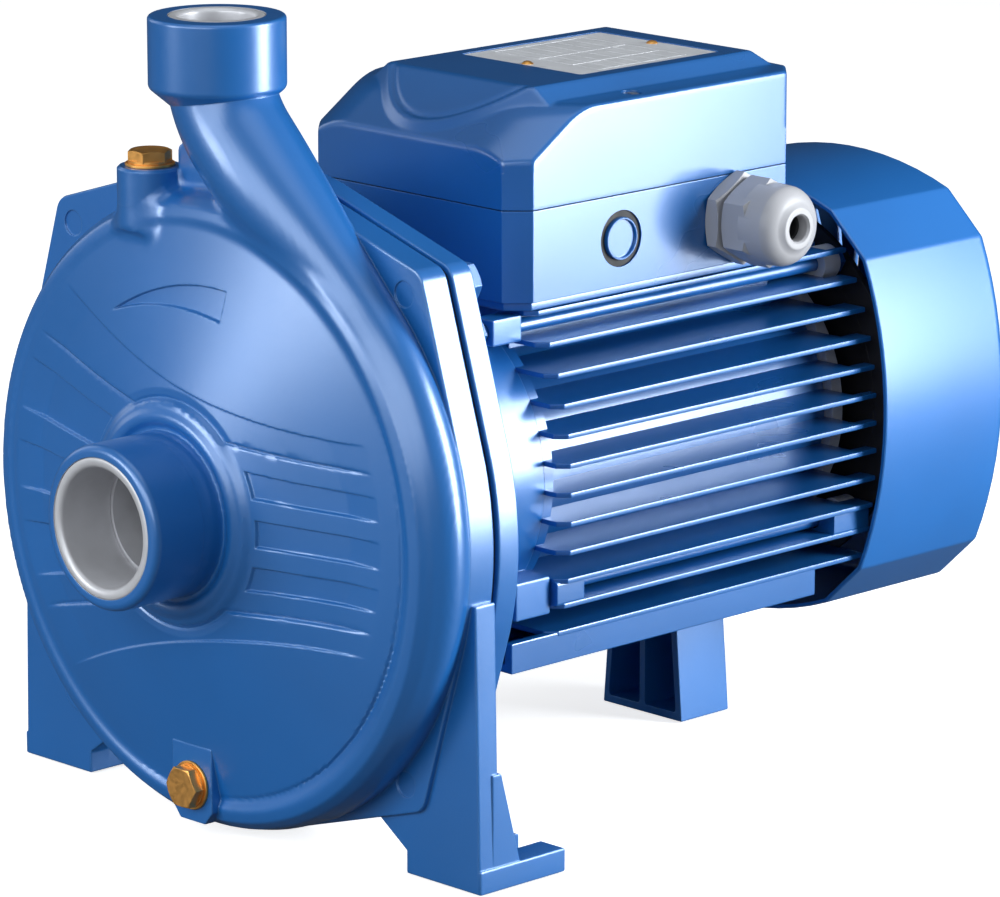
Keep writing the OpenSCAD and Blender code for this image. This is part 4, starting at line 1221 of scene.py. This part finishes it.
def gland_nut():
    """Hexagon nut running into a dome with a rounded mouth."""
    dome = [(0, 15), (14.1, 15), (13.8, 20.5)] + arc(7.0, 22.5, 6.8, 12, 78, 8)
    dome += arc(6.6, 29.5, 1.0, 50, 90, 2) + [(0, 30.5)]
    whole = combine(gland_hex(15.4, 7, 18), [from_side(dome, GLAND_AT, 72)])
    bore = [(0, 5), (12.07, 5), (12.07, 14), (9.6, 14), (9.6, 26), (4.5, 26),
            (4.5, 29.7), (5.2, 30.6), (5.2, 33), (0, 33)]
    return carved(whole, [from_side(bore, GLAND_AT, 72)])


def gland_seal():
    profile = [(4.2, 8), (7.4, 8), (7.4, 13.2), (9.5, 13.2), (9.5, 25.4), (9.0, 25.9),
               (4.9, 25.9), (4.2, 25.2)]
    return from_side(profile, GLAND_AT, 48)


def blank_disc():
    """The push-in blank: a shallow dish inside a rim."""
    edge = BLANK_R - 2.4
    rim = arc(BLANK_R - 2.8, 0.35, 0.4, 180, 0, 5)
    dish = [(0, -BOX_WALL), (edge, -BOX_WALL), (edge, 0.3)] + rim[::-1] + [(edge - 0.9, -0.3), (0, -0.3)]
    return from_side(dish, BLANK_AT, 64)


def blank_ring():
    inner, outer = BLANK_R - 2.37, BLANK_R - 0.05
    return from_side(rect(inner, outer, -BOX_WALL, -0.7), BLANK_AT, 64)


piece("gland_stem", gland_body(), "pump", "gland_grey", "cable_gland_body")
piece("gland_dome_nut", gland_nut(), "gland_cap", "gland_grey", "cable_gland_nut")
piece("gland_sleeve", gland_seal(), "gland_insert", "black_rubber", "cable_gland_seal")
piece("blank_disc", blank_disc(), "pump", "alu_blue", "blank_plug")
piece("blank_ring", blank_ring(), "pump", "black_rubber")


# ---------- materials of the CAD nodes, camera, floor and light ----------

for node, obj in frame["nodes"].items():
    obj.data.materials.clear()
    obj.data.materials.append(MATERIALS[SLOTS[node]])


def aim(obj, target):
    direction = Vector(target) - obj.location
    obj.rotation_euler = direction.to_track_quat("-Z", "Y").to_euler()


def around(azimuth, elevation, distance, centre):
    """A point seen from a centre; azimuth 0 is in front and 90 to the right, in degrees."""
    a, e = math.radians(azimuth), math.radians(elevation)
    return Vector(centre) + distance * Vector((math.sin(a) * math.cos(e), -math.cos(a) * math.cos(e),
                                               math.sin(e)))


VIEW_AZIMUTH, VIEW_ELEVATION, VIEW_DISTANCE = 45.734, 13.502, 1.88788
VIEW_TARGET, VIEW_LENS = (0.059603, 0.120, 0.016526), 208.9
LIGHT_CENTRE = (0.0, 0.12, 0.02)


def camera():
    """At the photograph's angle: from the front right, a little above."""
    data = bpy.data.cameras.new("camera")
    data.lens = VIEW_LENS
    data.sensor_width = 36
    data.sensor_fit = "HORIZONTAL"
    data.clip_start, data.clip_end = 0.05, 20
    obj = shown("camera", data)
    obj.location = around(VIEW_AZIMUTH, VIEW_ELEVATION, VIEW_DISTANCE, VIEW_TARGET)
    aim(obj, VIEW_TARGET)
    bpy.context.scene.camera = obj


def softbox(name, azimuth, elevation, distance, size, radiance):
    """A rectangular light that faces the middle; its radiance is what a mirror would show."""
    data = bpy.data.lights.new(name, "AREA")
    data.shape = "RECTANGLE"
    data.size, data.size_y = size
    data.energy = radiance * math.pi * size[0] * size[1]
    data.color = (0.93, 0.97, 1.0)
    obj = shown(name, data)
    obj.visible_camera = False
    obj.location = around(azimuth, elevation, distance, LIGHT_CENTRE)
    aim(obj, LIGHT_CENTRE)


def floor():
    """A pale floor that curves up far behind the object."""
    bm = bmesh.new()
    z0 = FLOOR_Z * MM - 0.0005
    profile = [(-6.0, z0)] + arc(4.0, z0 + 2.0, 2.0, -90, 0, 16) + [(6.0, 6.0)]
    away = Vector((-math.sin(math.radians(VIEW_AZIMUTH)), math.cos(math.radians(VIEW_AZIMUTH)), 0))
    across = Vector((away.y, -away.x, 0))
    rows = [[bm.verts.new(away * u + across * w + Vector((0, 0, v))) for u, v in profile] for w in (-7, 7)]
    for k in range(len(profile) - 1):
        bm.faces.new((rows[0][k], rows[0][k + 1], rows[1][k + 1], rows[1][k]))
    mesh = solid(bm)
    mesh.polygons.foreach_set("use_smooth", [True] * len(mesh.polygons))
    s = Shader("floor", (0.80, 0.80, 0.80), 0.7)
    seen = s.node("ShaderNodeLightPath").outputs["Is Camera Ray"]
    pale = s.mix(s.noise(6, 2), (0.78, 0.78, 0.785), (0.82, 0.82, 0.825))
    s.link(s.mix(seen, (0.10, 0.10, 0.10), pale), s.body.inputs["Base Color"])
    glow = s.ramp(seen, 0, 1, 0, 0.75)
    s.body.inputs["Emission Color"].default_value = (1, 1, 1, 1)
    s.link(glow, s.body.inputs["Emission Strength"])
    mesh.materials.append(s.done())
    shown("floor", mesh)


def studio():
    """Dim even surroundings and a few soft boxes, as for a glossy product."""
    scene = bpy.context.scene
    world = bpy.data.worlds.new("studio")
    world.use_nodes = True
    sky = world.node_tree.nodes["Background"].inputs
    sky["Color"].default_value = (0.90, 0.95, 1.0, 1)
    sky["Strength"].default_value = 0.25
    scene.world = world
    scene.view_settings.view_transform = "Standard"
    softbox("key", 12, 22, 1.7, (1.7, 0.9), 3.2)
    softbox("face", -27, 12, 1.7, (0.5, 0.5), 11)
    softbox("side", 127.5, 12, 1.1, (0.40, 0.75), 22)
    softbox("left", -80, 20, 1.7, (0.8, 1.0), 1.0)
    softbox("top", 30, 80, 1.6, (1.4, 1.2), 0.9)


camera()
floor()
studio()
